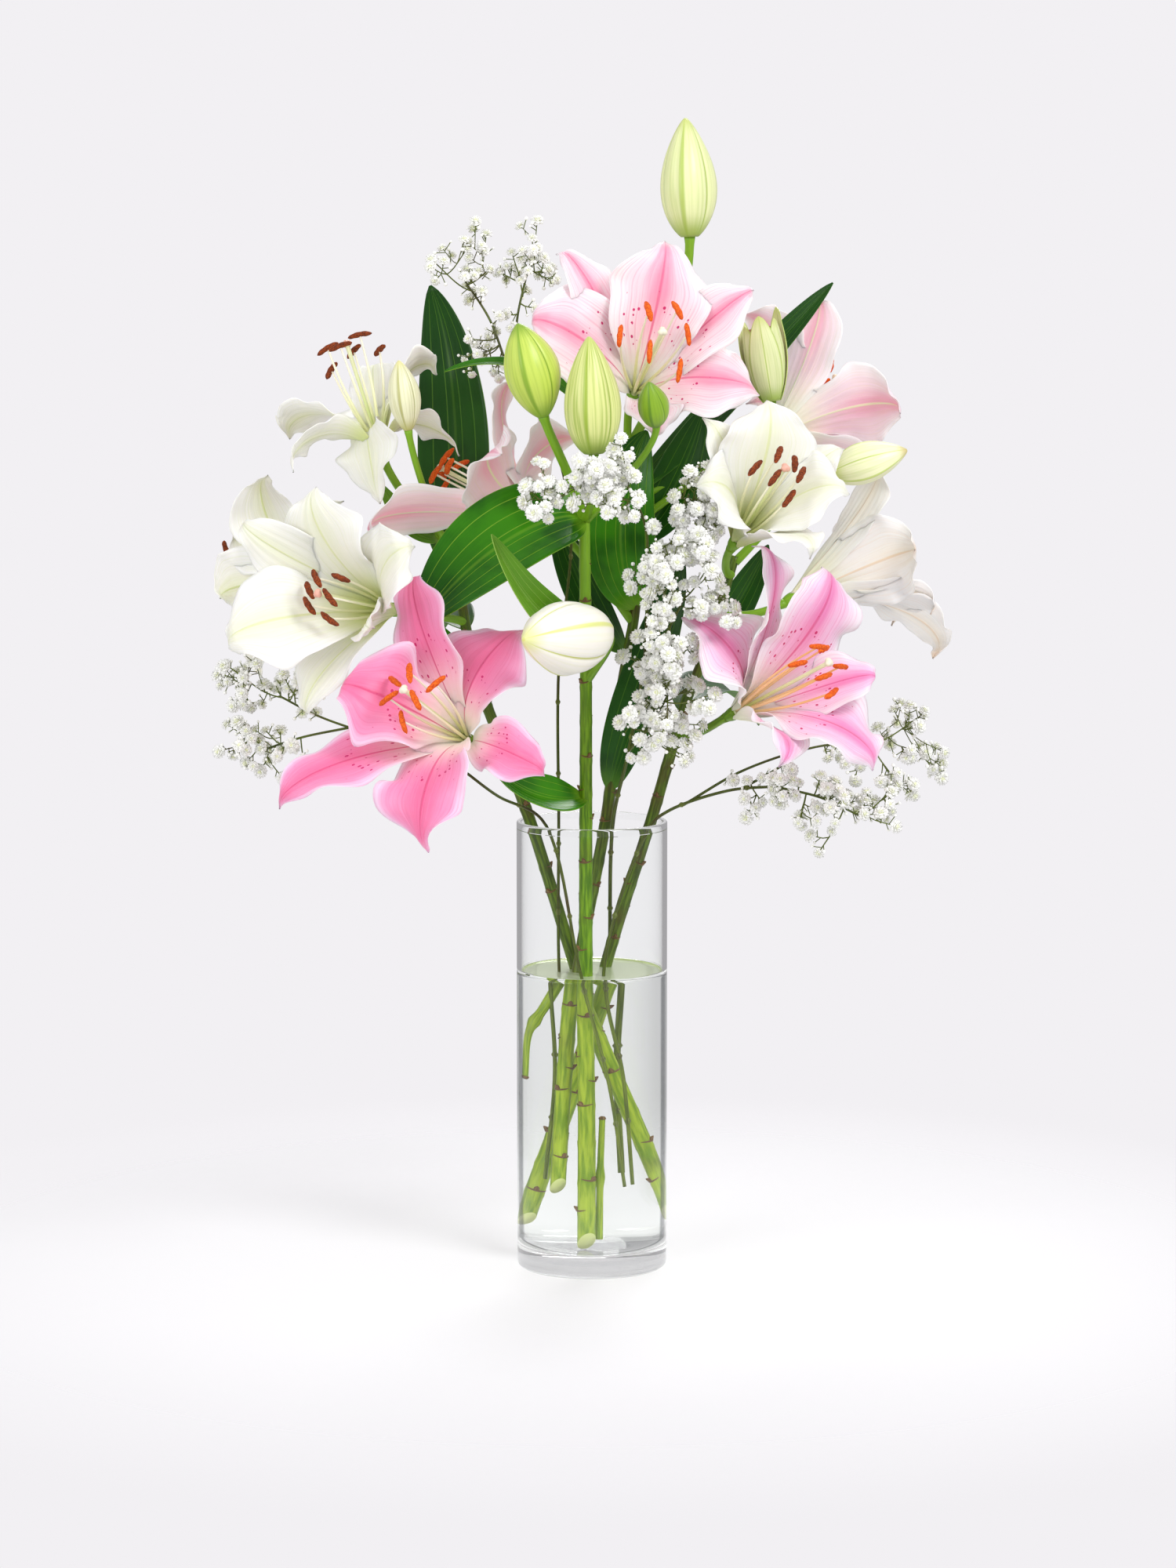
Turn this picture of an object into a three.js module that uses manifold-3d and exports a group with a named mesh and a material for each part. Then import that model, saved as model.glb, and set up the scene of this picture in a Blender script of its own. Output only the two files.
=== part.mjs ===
// Lilies and gypsophila standing in a straight glass cylinder vase of water.
// Millimetres, +Z up, +Y away from the viewer. The origin is the centre of the vase's flat underside.
import * as THREE from 'three';
import { mergeVertices } from 'three/addons/utils/BufferGeometryUtils.js';
import Module from 'manifold-3d';

const wasm = await Module();
wasm.setup();

// ---- Driving dimensions -------------------------------------------------------------------------

const VASE_RADIUS = 50;
const VASE_HEIGHT = 300;
const VASE_WALL = 3;
const VASE_FLOOR = 14;
const VASE_FOOT_ROUND = 4;
const FLOOR_ROUND = 2;
const VASE_SIDES = 24;
const WATER_LEVEL = 199;
const GAP = 0.3;

const BLADE = 1.0;
const INNER_OUTLINE = { claw: 1.45, point: 0.88 };
const OUTER_OUTLINE = { claw: 1.3, point: 1.05 };
const TIP_ROLL = 18;
const INNER_STATIONS = [0, 0.27, 0.54, 0.8, 1];
const OUTER_STATIONS = [0, 0.34, 0.7, 1];
const PETAL_STRIPS = 2;
const LEAF_STATIONS = [0, 0.16, 0.42, 0.74, 1];
const LEAF_STRIPS = 2;

const OPEN_BUD_END = 0.66;

const RECEPTACLE_BACK = 6;
const RECEPTACLE_FRONT = 3;
const RECEPTACLE_RADIUS = 4.6;
const HUB_LENGTH = 4;
const HUB_RADIUS = 2.5;
const FILAMENT_RADIUS = 0.75;
const FILAMENT_RING = 1.5;
const STYLE_RADIUS = 0.9;
const STIGMA_RADIUS = 3;
const ANTHER_LENGTH = 12;
const ANTHER_RADIUS = 1.9;
const ANTHER_OUTLINE = [[1, 0], [0.45, 1], [-0.45, 1], [-1, 0], [-0.45, -1], [0.45, -1]];

const STEM_SIDES = 6;
const PEDICEL_RADIUS = 2.7;
const TWIG_RADIUS = 0.55;
const CLOUD_STEP = 5;
const CLOUD_REACH = 4.2;

// ---- Small tools --------------------------------------------------------------------------------

const vec = (p) => new THREE.Vector3(p[0], p[1], p[2]);
const mix = (a, b, t) => a + (b - a) * t;
const along = (p, direction, distance) => p.clone().addScaledVector(direction, distance);
const perpendicular = (p, axis) => p.clone().addScaledVector(axis, -p.dot(axis)).normalize();

// A seeded draw between 0 and 1: the same number for the same key, every run.
function draw(key) {
  const wave = Math.sin(key * 12.9898 + 78.233) * 43758.5453;
  return wave - Math.floor(wave);
}

// A closed solid from shared vertices and triangles, turned so that its faces point out.
function solidFrom(points, triangles) {
  const vertProperties = new Float32Array(points.flatMap((p) => [p.x, p.y, p.z]));
  const made = new wasm.Manifold(
    new wasm.Mesh({ numProp: 3, vertProperties, triVerts: new Uint32Array(triangles.flat()) }),
  );
  if (made.volume() > 0) return made;
  return solidFrom(points, triangles.map(([a, b, c]) => [a, c, b]));
}

// A three.js geometry as a solid.
function solidOf(geometry) {
  const bare = geometry.clone().deleteAttribute('normal').deleteAttribute('uv');
  const merged = mergeVertices(bare, 1e-4);
  const place = merged.getAttribute('position');
  const index = merged.index.array;
  const points = [];
  for (let i = 0; i < place.count; i++) points.push(new THREE.Vector3().fromBufferAttribute(place, i));
  const triangles = [];
  for (let i = 0; i < index.length; i += 3) {
    const [a, b, c] = [index[i], index[i + 1], index[i + 2]];
    if (a !== b && b !== c && c !== a) triangles.push([a, b, c]);
  }
  return solidFrom(points, triangles);
}

// Joins solids two by two, which keeps every join small.
function join(solids) {
  if (solids.length === 1) return solids[0];
  const half = solids.length >> 1;
  return join(solids.slice(0, half)).add(join(solids.slice(half)));
}

// The outer shell of the largest body: a hollow that joining sealed is filled, a loose scrap is dropped.
function largestBody(solid) {
  return solid.decompose().reduce((best, body) => (body.volume() > best.volume() ? body : best));
}

// Rings with the same number of points, closed by a fan at each end.
function loft(rings) {
  const sides = rings[0].length;
  const last = (rings.length - 1) * sides;
  const triangles = [];
  for (let i = 0; i + 1 < rings.length; i++) {
    for (let k = 0; k < sides; k++) {
      const a = i * sides + k;
      const b = i * sides + ((k + 1) % sides);
      triangles.push([a, b, b + sides], [a, b + sides, a + sides]);
    }
  }
  for (let k = 1; k + 1 < sides; k++) {
    triangles.push([0, k + 1, k], [last, last + k, last + k + 1]);
  }
  return solidFrom(rings.flat(), triangles);
}

// A round section: radius may depend on the angle.
function ring(centre, side, normal, sides, radius) {
  const points = [];
  for (let k = 0; k < sides; k++) {
    const angle = (2 * Math.PI * k) / sides;
    const r = typeof radius === 'function' ? radius(angle) : radius;
    const p = along(along(centre, side, r * Math.cos(angle)), normal, r * Math.sin(angle));
    points.push(p);
  }
  return points;
}

// A tapering tube along a curve. Its frame is carried along the curve without twist.
function tube(curve, steps, sides, radiusAt) {
  let side = null;
  const rings = [];
  for (let i = 0; i <= steps; i++) {
    const t = i / steps;
    const tangent = curve.getTangent(t).normalize();
    if (!side) {
      const hint = Math.abs(tangent.z) > 0.8 ? new THREE.Vector3(1, 0, 0) : new THREE.Vector3(0, 0, 1);
      side = perpendicular(hint, tangent);
    }
    side = perpendicular(side, tangent);
    const normal = new THREE.Vector3().crossVectors(tangent, side);
    rings.push(ring(curve.getPoint(t), side, normal, sides, radiusAt(t)));
  }
  return loft(rings);
}

// A thin blade from rows of points with the direction its face looks in. Each cell is split the same way
// on both faces, so a waved blade never crosses itself.
function bladeSolid(rows) {
  const across = rows[0].length;
  const points = [];
  for (const row of rows) for (const { at, face } of row) points.push(along(at, face, BLADE / 2));
  for (const row of rows) for (const { at, face } of row) points.push(along(at, face, -BLADE / 2));
  const under = rows.length * across;
  const id = (i, j) => i * across + j;
  const triangles = [];
  const wall = (a, b) => triangles.push([a, b, b + under], [a, b + under, a + under]);
  for (let i = 0; i + 1 < rows.length; i++) {
    for (let j = 0; j + 1 < across; j++) {
      const [a, b, c, d] = [id(i, j), id(i + 1, j), id(i + 1, j + 1), id(i, j + 1)];
      triangles.push([a, b, c], [a, c, d]);
      triangles.push([a + under, c + under, b + under], [a + under, d + under, c + under]);
    }
    wall(id(i + 1, 0), id(i, 0));
    wall(id(i, across - 1), id(i + 1, across - 1));
  }
  for (let j = 0; j + 1 < across; j++) {
    wall(id(0, j), id(0, j + 1));
    wall(id(rows.length - 1, j + 1), id(rows.length - 1, j));
  }
  return solidFrom(points, triangles);
}

// ---- Petals -------------------------------------------------------------------------------------

// Half the petal's width from base (0) to tip (1), as a share of its greatest half width.
function petalWidth(t, { claw, point }) {
  const widest = claw / (claw + point);
  return Math.pow((t + 0.02) / widest, claw) * Math.pow((1.004 - t) / (1 - widest), point);
}

// A petal's midrib: out of the receptacle along the bloom's axis, then outwards, with the tip curled back.
function petalShape(bloom, petal) {
  const base = vec(bloom.base);
  const axis = vec(bloom.axis).normalize();
  const reach = vec(petal.tip);
  const out = perpendicular(reach, axis);
  const side = new THREE.Vector3().crossVectors(axis, out);
  const length = Math.max(bloom.length, reach.length() * 1.06);
  const root = along(base, out, petal.inner ? 2.9 : 3.6);
  const throat = bloom.throat * (petal.inner ? 1 : 0.75);
  const rise = along(along(root, axis, length * throat), out, length * (petal.inner ? 0.05 : 0.12));
  const bend = THREE.MathUtils.degToRad((petal.curl ?? bloom.curl) + TIP_ROLL);
  const leaving = out.clone().multiplyScalar(Math.cos(bend)).addScaledVector(axis, -Math.sin(bend));
  const tip = base.clone().add(reach);
  const before = along(tip, leaving, -length * 0.3);
  const curve = new THREE.CubicBezierCurve3(root, rise, before, tip);
  return { curve, side, width: petal.width, petal, bloom };
}

// A point of the petal at t along and s across (-1 to 1), with the direction of its face.
function petalPoint(shape, t, s) {
  const { curve, width, petal, bloom } = shape;
  const tangent = curve.getTangent(t).normalize();
  const turn = THREE.MathUtils.degToRad(petal.twist ?? 0) * t * t;
  const side = shape.side.clone().applyAxisAngle(tangent, turn);
  const face = new THREE.Vector3().crossVectors(tangent, side);
  const half = Math.max(0.5, (width / 2) * petalWidth(t, petal.inner ? INNER_OUTLINE : OUTER_OUTLINE));
  const trough = 0.42 * Math.pow(1 - t, 1.3);
  const fold = -(petal.fold ?? 0.22) * t * t;
  const wave = bloom.ruffle * (petal.inner ? 1 : 0.4) * Math.sin(Math.PI * t) ** 2;
  const ruffle = wave * Math.abs(s) ** 3 * Math.sin(12 * t + (s > 0 ? 2.1 : 0) + (petal.phase ?? 0));
  const height = half * (trough + fold) * s * s + ruffle;
  const lateral = half * s * (1 - 0.12 * trough * s * s);
  const at = along(along(curve.getPoint(t), side, lateral), face, height);
  return { at, face };
}

function petalSolid(shape) {
  const stations = shape.petal.inner ? INNER_STATIONS : OUTER_STATIONS;
  const rows = stations.map((t) => {
    const row = [];
    for (let j = 0; j <= PETAL_STRIPS; j++) row.push(petalPoint(shape, t, (2 * j) / PETAL_STRIPS - 1));
    return row;
  });
  return bladeSolid(rows);
}

// The six petals of a bloom, grown together on its receptacle.
function petalsSolid(bloom) {
  const base = vec(bloom.base);
  const axis = vec(bloom.axis).normalize();
  const core = new THREE.LineCurve3(along(base, axis, -RECEPTACLE_BACK), along(base, axis, RECEPTACLE_FRONT));
  const radiusAt = (t) => RECEPTACLE_RADIUS * mix(0.65, 1, t);
  const receptacle = tube(core, 1, 6, radiusAt);
  const petals = bloom.petals.map((petal) => petalSolid(petalShape(bloom, petal)));
  return largestBody(join([receptacle, ...petals]));
}

// ---- Stamens and pistil -------------------------------------------------------------------------

// Where a stamen's anther sits: on a ring round the axis, a little short of the stigma.
function antherPlace(bloom, k) {
  const axis = vec(bloom.axis).normalize();
  const reach = vec(bloom.axis).length();
  const up = perpendicular(new THREE.Vector3(0, 0, 1), axis);
  const side = new THREE.Vector3().crossVectors(axis, up);
  const angle = THREE.MathUtils.degToRad(bloom.turn + 60 * k);
  const spread = bloom.ring * (k % 2 ? 1.2 : 0.8);
  const out = up.multiplyScalar(Math.cos(angle)).addScaledVector(side, Math.sin(angle));
  const at = along(along(vec(bloom.base), axis, reach * (k % 2 ? 0.88 : 0.98)), out, spread);
  return { at, out, axis, lie: bloom.lie };
}

// A three-sided stalk that opens into a head: a rim of points round its end, and a peak beyond the rim.
function stalkedSolid(foot, neck, side, footRadius, neckRadius, rim, peak) {
  const axis = neck.clone().sub(foot).normalize();
  const across = perpendicular(side, axis);
  const normal = new THREE.Vector3().crossVectors(axis, across);
  const points = [
    ...ring(foot, across, normal, 3, footRadius),
    ...ring(neck, across, normal, 3, neckRadius),
    ...rim,
    peak,
  ];
  const count = rim.length;
  const triangles = [[2, 1, 0]];
  for (let k = 0; k < 3; k++) {
    const next = (k + 1) % 3;
    triangles.push([k, next, 3 + next], [k, 3 + next, 3 + k]);
  }
  for (let k = 0; k < count; k++) {
    const next = (k + 1) % count;
    const below = 3 + (Math.floor((k * 3) / count) % 3);
    const belowNext = 3 + (Math.floor(((k + 1) * 3) / count) % 3);
    triangles.push([below, 6 + next, 6 + k], [6 + k, 6 + next, 6 + count]);
    if (below !== belowNext) triangles.push([below, belowNext, 6 + next]);
  }
  return solidFrom(points, triangles);
}

// A filament that carries its anther crosswise, like the letter T. The anthers of a bloom point outwards, or
// all lie the same way.
function stamenSolid(foot, place, k) {
  const { at, out, axis } = place;
  const stalk = at.clone().sub(foot).normalize();
  const tangent = new THREE.Vector3().crossVectors(axis, out);
  const lean = mix(-0.7, 0.7, draw(k * 3 + 5)) * (place.lie ? 0.3 : 1);
  const direction = place.lie ? vec(place.lie) : out.clone();
  const lie = perpendicular(direction.addScaledVector(tangent, lean), stalk);
  const broad = new THREE.Vector3().crossVectors(stalk, lie);
  const rim = ANTHER_OUTLINE.map(([length, breadth]) => (
    along(along(at, lie, length * ANTHER_LENGTH / 2), broad, breadth * ANTHER_RADIUS)
  ));
  const neck = along(at, stalk, -ANTHER_RADIUS * 0.8);
  return stalkedSolid(foot, neck, lie, FILAMENT_RADIUS, FILAMENT_RADIUS, rim, along(at, stalk, ANTHER_RADIUS));
}

function stamensSolid(bloom) {
  const base = vec(bloom.base);
  const axis = vec(bloom.axis).normalize();
  const start = along(base, axis, RECEPTACLE_FRONT + GAP);
  const hub = tube(new THREE.LineCurve3(start, along(start, axis, HUB_LENGTH)), 1, 6, () => HUB_RADIUS);
  const root = along(start, axis, HUB_LENGTH / 2);
  const pieces = [hub];
  for (let k = 0; k < 6; k++) {
    const place = antherPlace(bloom, k);
    pieces.push(stamenSolid(along(root, place.out, FILAMENT_RING), place, k));
  }
  const stigma = base.clone().add(vec(bloom.axis));
  const side = perpendicular(new THREE.Vector3(0, 0, 1), axis);
  const knob = ring(stigma, side, new THREE.Vector3().crossVectors(axis, side), 6, STIGMA_RADIUS);
  const neck = along(stigma, axis, -3);
  pieces.push(stalkedSolid(root, neck, side, STYLE_RADIUS, STYLE_RADIUS, knob, along(stigma, axis, 2)));
  return largestBody(join(pieces));
}

// ---- Buds ---------------------------------------------------------------------------------------

// A bud: three petals' backs bulge, with a groove between each two. An open one keeps its width at the top.
function budSolid(bud) {
  const base = vec(bud.base);
  const tip = vec(bud.tip);
  const axis = tip.clone().sub(base).normalize();
  const side = perpendicular(new THREE.Vector3(1, 0.3, 0.2), axis);
  const normal = new THREE.Vector3().crossVectors(axis, side);
  const last = bud.open ? OPEN_BUD_END : 0.992;
  const rings = [0, 0.1, 0.32, 0.66, 1].map((t) => {
    const swell = Math.pow(Math.sin(Math.PI * Math.pow(mix(0.035, last, t), bud.belly)), 0.75);
    const radius = (angle) => (bud.width / 2) * swell * (1 + 0.06 * Math.cos(3 * angle) * swell);
    return ring(base.clone().lerp(tip, t), side, normal, 9, radius);
  });
  return loft(rings);
}

// ---- Leaves -------------------------------------------------------------------------------------

function leafWidth(t) {
  return Math.pow(t + 0.003, 0.6) * Math.pow(1.003 - t, 0.72) * 2.46;
}

function leafShape(leaf) {
  return { curve: new THREE.CubicBezierCurve3(...leaf.spine.map(vec)), leaf };
}

function leafPoint(shape, t, s) {
  const { curve, leaf } = shape;
  const tangent = curve.getTangent(t).normalize();
  const turn = THREE.MathUtils.degToRad(leaf.twist ?? 0) * t;
  const side = new THREE.Vector3().crossVectors(tangent, vec(leaf.face)).normalize();
  side.applyAxisAngle(tangent, turn);
  const face = new THREE.Vector3().crossVectors(side, tangent);
  const half = Math.max(0.5, (leaf.width / 2) * leafWidth(t));
  const lift = (leaf.fold ?? 0.3) * half * Math.abs(s);
  return { at: along(along(curve.getPoint(t), side, half * s), face, lift), face };
}

function leafSolid(leaf) {
  const shape = leafShape(leaf);
  const rows = LEAF_STATIONS.map((t) => {
    const row = [];
    for (let j = 0; j <= LEAF_STRIPS; j++) row.push(leafPoint(shape, t, (2 * j) / LEAF_STRIPS - 1));
    return row;
  });
  return bladeSolid(rows);
}

// ---- Leafy stems --------------------------------------------------------------------------------

// A pedicel leaves the stem and arrives along the axis of the bloom or bud that it carries.
function pedicelCurve({ from, by, base, toward, back }) {
  const axis = vec(toward).normalize();
  const end = along(vec(base), axis, -(back + GAP));
  return new THREE.CubicBezierCurve3(vec(from), vec(by), along(end, axis, -16), end);
}

function stemCurve(stem) {
  return new THREE.CatmullRomCurve3(stem.path.map(vec), false, 'centripetal');
}

function leafyStemSolid(stem) {
  const curve = stemCurve(stem);
  const pieces = [tube(curve, stem.steps, STEM_SIDES, (t) => mix(stem.thick, stem.thin, t))];
  for (const pedicel of stem.pedicels) {
    const radius = pedicel.radius ?? PEDICEL_RADIUS;
    pieces.push(tube(pedicelCurve(pedicel), 3, 4, () => radius));
  }
  for (const leaf of stem.leaves) pieces.push(leafSolid(leaf));
  return largestBody(join(pieces));
}

// ---- The lilies ---------------------------------------------------------------------------------
// base: where the petals leave the receptacle. axis: from there to the stigma. tip: from the base to
// each petal's tip. The inner petals are the broad ruffled ones.

const BLOOMS = [
  {
    name: 'white_left', base: [-128, -40, 443], axis: [-47, -55, 15], length: 104, throat: 0.36,
    curl: 35, ruffle: 3, ring: 13, turn: 20, lie: [0.8, 0.1, -0.5], kind: 'white',
    petals: [
      { tip: [-50, -30, 84], width: 62, inner: true },
      { tip: [-97, -16, 61], width: 39, curl: 50 },
      { tip: [-108, -45, -21], width: 70, inner: true },
      { tip: [-53, -35, -68], width: 37, curl: 70 },
      { tip: [18, -70, 46], width: 53, inner: true, curl: 80 },
      { tip: [-8, -62, -8], width: 30, curl: 90 },
    ],
  },
  {
    name: 'white_back', base: [-185, 20, 456], axis: [-55, 75, 10], length: 98, throat: 0.36,
    curl: 45, ruffle: 3, ring: 16, turn: 0, kind: 'white',
    petals: [
      { tip: [-35, 50, 72], width: 55, inner: true },
      { tip: [17, 70, 53], width: 35 },
      { tip: [13, 78, -29], width: 55, inner: true },
      { tip: [-40, 60, -71], width: 35 },
      { tip: [-67, 34, -15], width: 55, inner: true },
      { tip: [-55, 38, 35], width: 35 },
    ],
  },
  {
    name: 'white_side', base: [-139, 10, 544], axis: [-24, 32, 70], length: 92, throat: 0.42,
    curl: 70, ruffle: 2, ring: 17, turn: 10, kind: 'white',
    petals: [
      { tip: [-60, -22, -13], width: 37 },
      { tip: [-66, 50, 5], width: 58, inner: true },
      { tip: [-3, 80, 47], width: 35 },
      { tip: [38, 50, 50], width: 53, inner: true },
      { tip: [54, 14, -2], width: 35 },
      { tip: [-2, -28, -32], width: 50, inner: true },
    ],
  },
  {
    name: 'pink_turned', base: [-33, 10, 498], axis: [-68, 24, 34], length: 100, throat: 0.4,
    curl: 45, ruffle: 3, ring: 10, turn: 0, kind: 'pink',
    petals: [
      { tip: [-27, -50, 49], width: 60, inner: true },
      { tip: [-14, 20, 95], width: 39 },
      { tip: [24, 66, 54], width: 60, inner: true },
      { tip: [0, 84, 0], width: 39 },
      { tip: [-30, 66, -46], width: 46, inner: true },
      { tip: [-109, -60, -8], width: 39, curl: 60 },
    ],
  },
  {
    name: 'pink_top', base: [27, 0, 581], axis: [18, -75, 43], length: 104, throat: 0.34,
    curl: 30, ruffle: 3, ring: 21, turn: 25, kind: 'pink',
    petals: [
      { tip: [21, -20, 103], width: 65, inner: true },
      { tip: [-51, -15, 95], width: 39, curl: 55, twist: 25 },
      { tip: [-69, -46, 47], width: 67, inner: true, curl: 85 },
      { tip: [14, -46, -30], width: 35, curl: 70 },
      { tip: [84, -26, 3], width: 65, inner: true },
      { tip: [81, -20, 69], width: 39, curl: 45 },
    ],
  },
  {
    name: 'pink_right', base: [120, 50, 551], axis: [46, 58, 38], length: 100, throat: 0.4,
    curl: 45, ruffle: 3, ring: 15, turn: 0, kind: 'pink',
    petals: [
      { tip: [28, 20, 94], width: 39, curl: 60, twist: 20 },
      { tip: [90, 10, 17], width: 60, inner: true },
      { tip: [76, 30, -47], width: 37 },
      { tip: [43, 82, -31], width: 58, inner: true },
      { tip: [-14, 90, 19], width: 37 },
      { tip: [-20, 60, 84], width: 60, inner: true },
    ],
  },
  {
    name: 'white_right', base: [93, -30, 486], axis: [30, -62, 52], length: 96, throat: 0.38,
    curl: 20, ruffle: 2.5, ring: 14, turn: 5, lie: [0.5, 0.1, 0.8], kind: 'white',
    petals: [
      { tip: [19, -24, 96], width: 65, inner: true },
      { tip: [-23, -30, 84], width: 37 },
      { tip: [-28, -60, 41], width: 60, inner: true, curl: 40 },
      { tip: [47, -85, -6], width: 37, curl: 55 },
      { tip: [74, -50, 36], width: 60, inner: true },
      { tip: [72, -10, 64], width: 37 },
    ],
  },
  {
    name: 'peach_right', base: [132, 20, 445], axis: [72, 40, 34], length: 98, throat: 0.4,
    curl: 25, ruffle: 2.5, ring: 12, turn: 30, kind: 'peach',
    petals: [
      { tip: [52, 10, 94], width: 35, curl: 50 },
      { tip: [84, -20, 34], width: 60, inner: true },
      { tip: [97, 10, -12], width: 35, curl: 50 },
      { tip: [100, 40, -45], width: 60, inner: true, curl: 60 },
      { tip: [75, 84, -24], width: 35 },
      { tip: [40, 88, 34], width: 55, inner: true },
    ],
  },
  {
    name: 'pink_low_right', base: [92, -30, 374], axis: [60, -55, 39], length: 104, throat: 0.38,
    curl: 35, ruffle: 3.5, ring: 15, turn: 15, kind: 'pink',
    petals: [
      { tip: [59, -20, 100], width: 65, inner: true },
      { tip: [11, -40, 116], width: 37, curl: 55, twist: 30 },
      { tip: [-34, -34, 68], width: 60, inner: true },
      { tip: [27, -72, -28], width: 37, curl: 60 },
      { tip: [92, -45, -33], width: 62, inner: true },
      { tip: [93, -22, 24], width: 37, curl: 50 },
    ],
  },
  {
    name: 'pink_low_left', base: [-79, -68, 360], axis: [-40, -62, 40], length: 108, throat: 0.36,
    curl: 40, ruffle: 3.5, ring: 15, turn: 0, kind: 'pink',
    petals: [
      { tip: [-31, -5, 110], width: 40, curl: 60 },
      { tip: [36, 3, 75], width: 65, inner: true },
      { tip: [52, -52, -16], width: 37, curl: 100 },
      { tip: [-27, -72, -64], width: 65, inner: true, curl: 45 },
      { tip: [-123, -37, -41], width: 39, curl: 50 },
      { tip: [-84, -30, 39], width: 65, inner: true },
    ],
  },
];

const BUDS = [
  { name: 'bud_tall', base: [64, 10, 684], tip: [61, 10, 761], width: 37, belly: 0.8, kind: 'pale' },
  { name: 'bud_fresh', base: [-31, -79, 570], tip: [-47, -90, 629], width: 35, belly: 0.95, kind: 'fresh' },
  { name: 'bud_ribbed', base: [1, -94, 547], tip: [-2, -100, 621], width: 36, belly: 0.75, kind: 'pale' },
  { name: 'bud_small', base: [41, -74, 564], tip: [36, -90, 592], width: 20, belly: 0.8, kind: 'fresh' },
  { name: 'bud_slim', base: [-120, -12, 558], tip: [-126, -14, 604], width: 21, belly: 0.95, kind: 'cream' },
  { name: 'bud_opening', base: [118, 0, 577], tip: [108, 0, 637], width: 31, belly: 0.8, kind: 'pale', open: true },
  { name: 'bud_side', base: [157, 0, 529], tip: [207, 0, 545], width: 27, belly: 0.85, kind: 'pale' },
  { name: 'bud_cream', base: [8, -75, 430], tip: [-43, -134, 432], width: 47, belly: 0.85, kind: 'cream' },
];

const bloomNamed = (name) => BLOOMS.find((bloom) => bloom.name === name);
const budNamed = (name) => BUDS.find((bud) => bud.name === name);

function toBloom(name, from, by, radius) {
  const { base, axis } = bloomNamed(name);
  return { from, by, base, toward: axis, back: RECEPTACLE_BACK, radius };
}

function toBud(name, from, by, radius) {
  const { base, tip } = budNamed(name);
  return { from, by, base, toward: tip.map((value, i) => value - base[i]), back: 0, radius };
}

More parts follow.
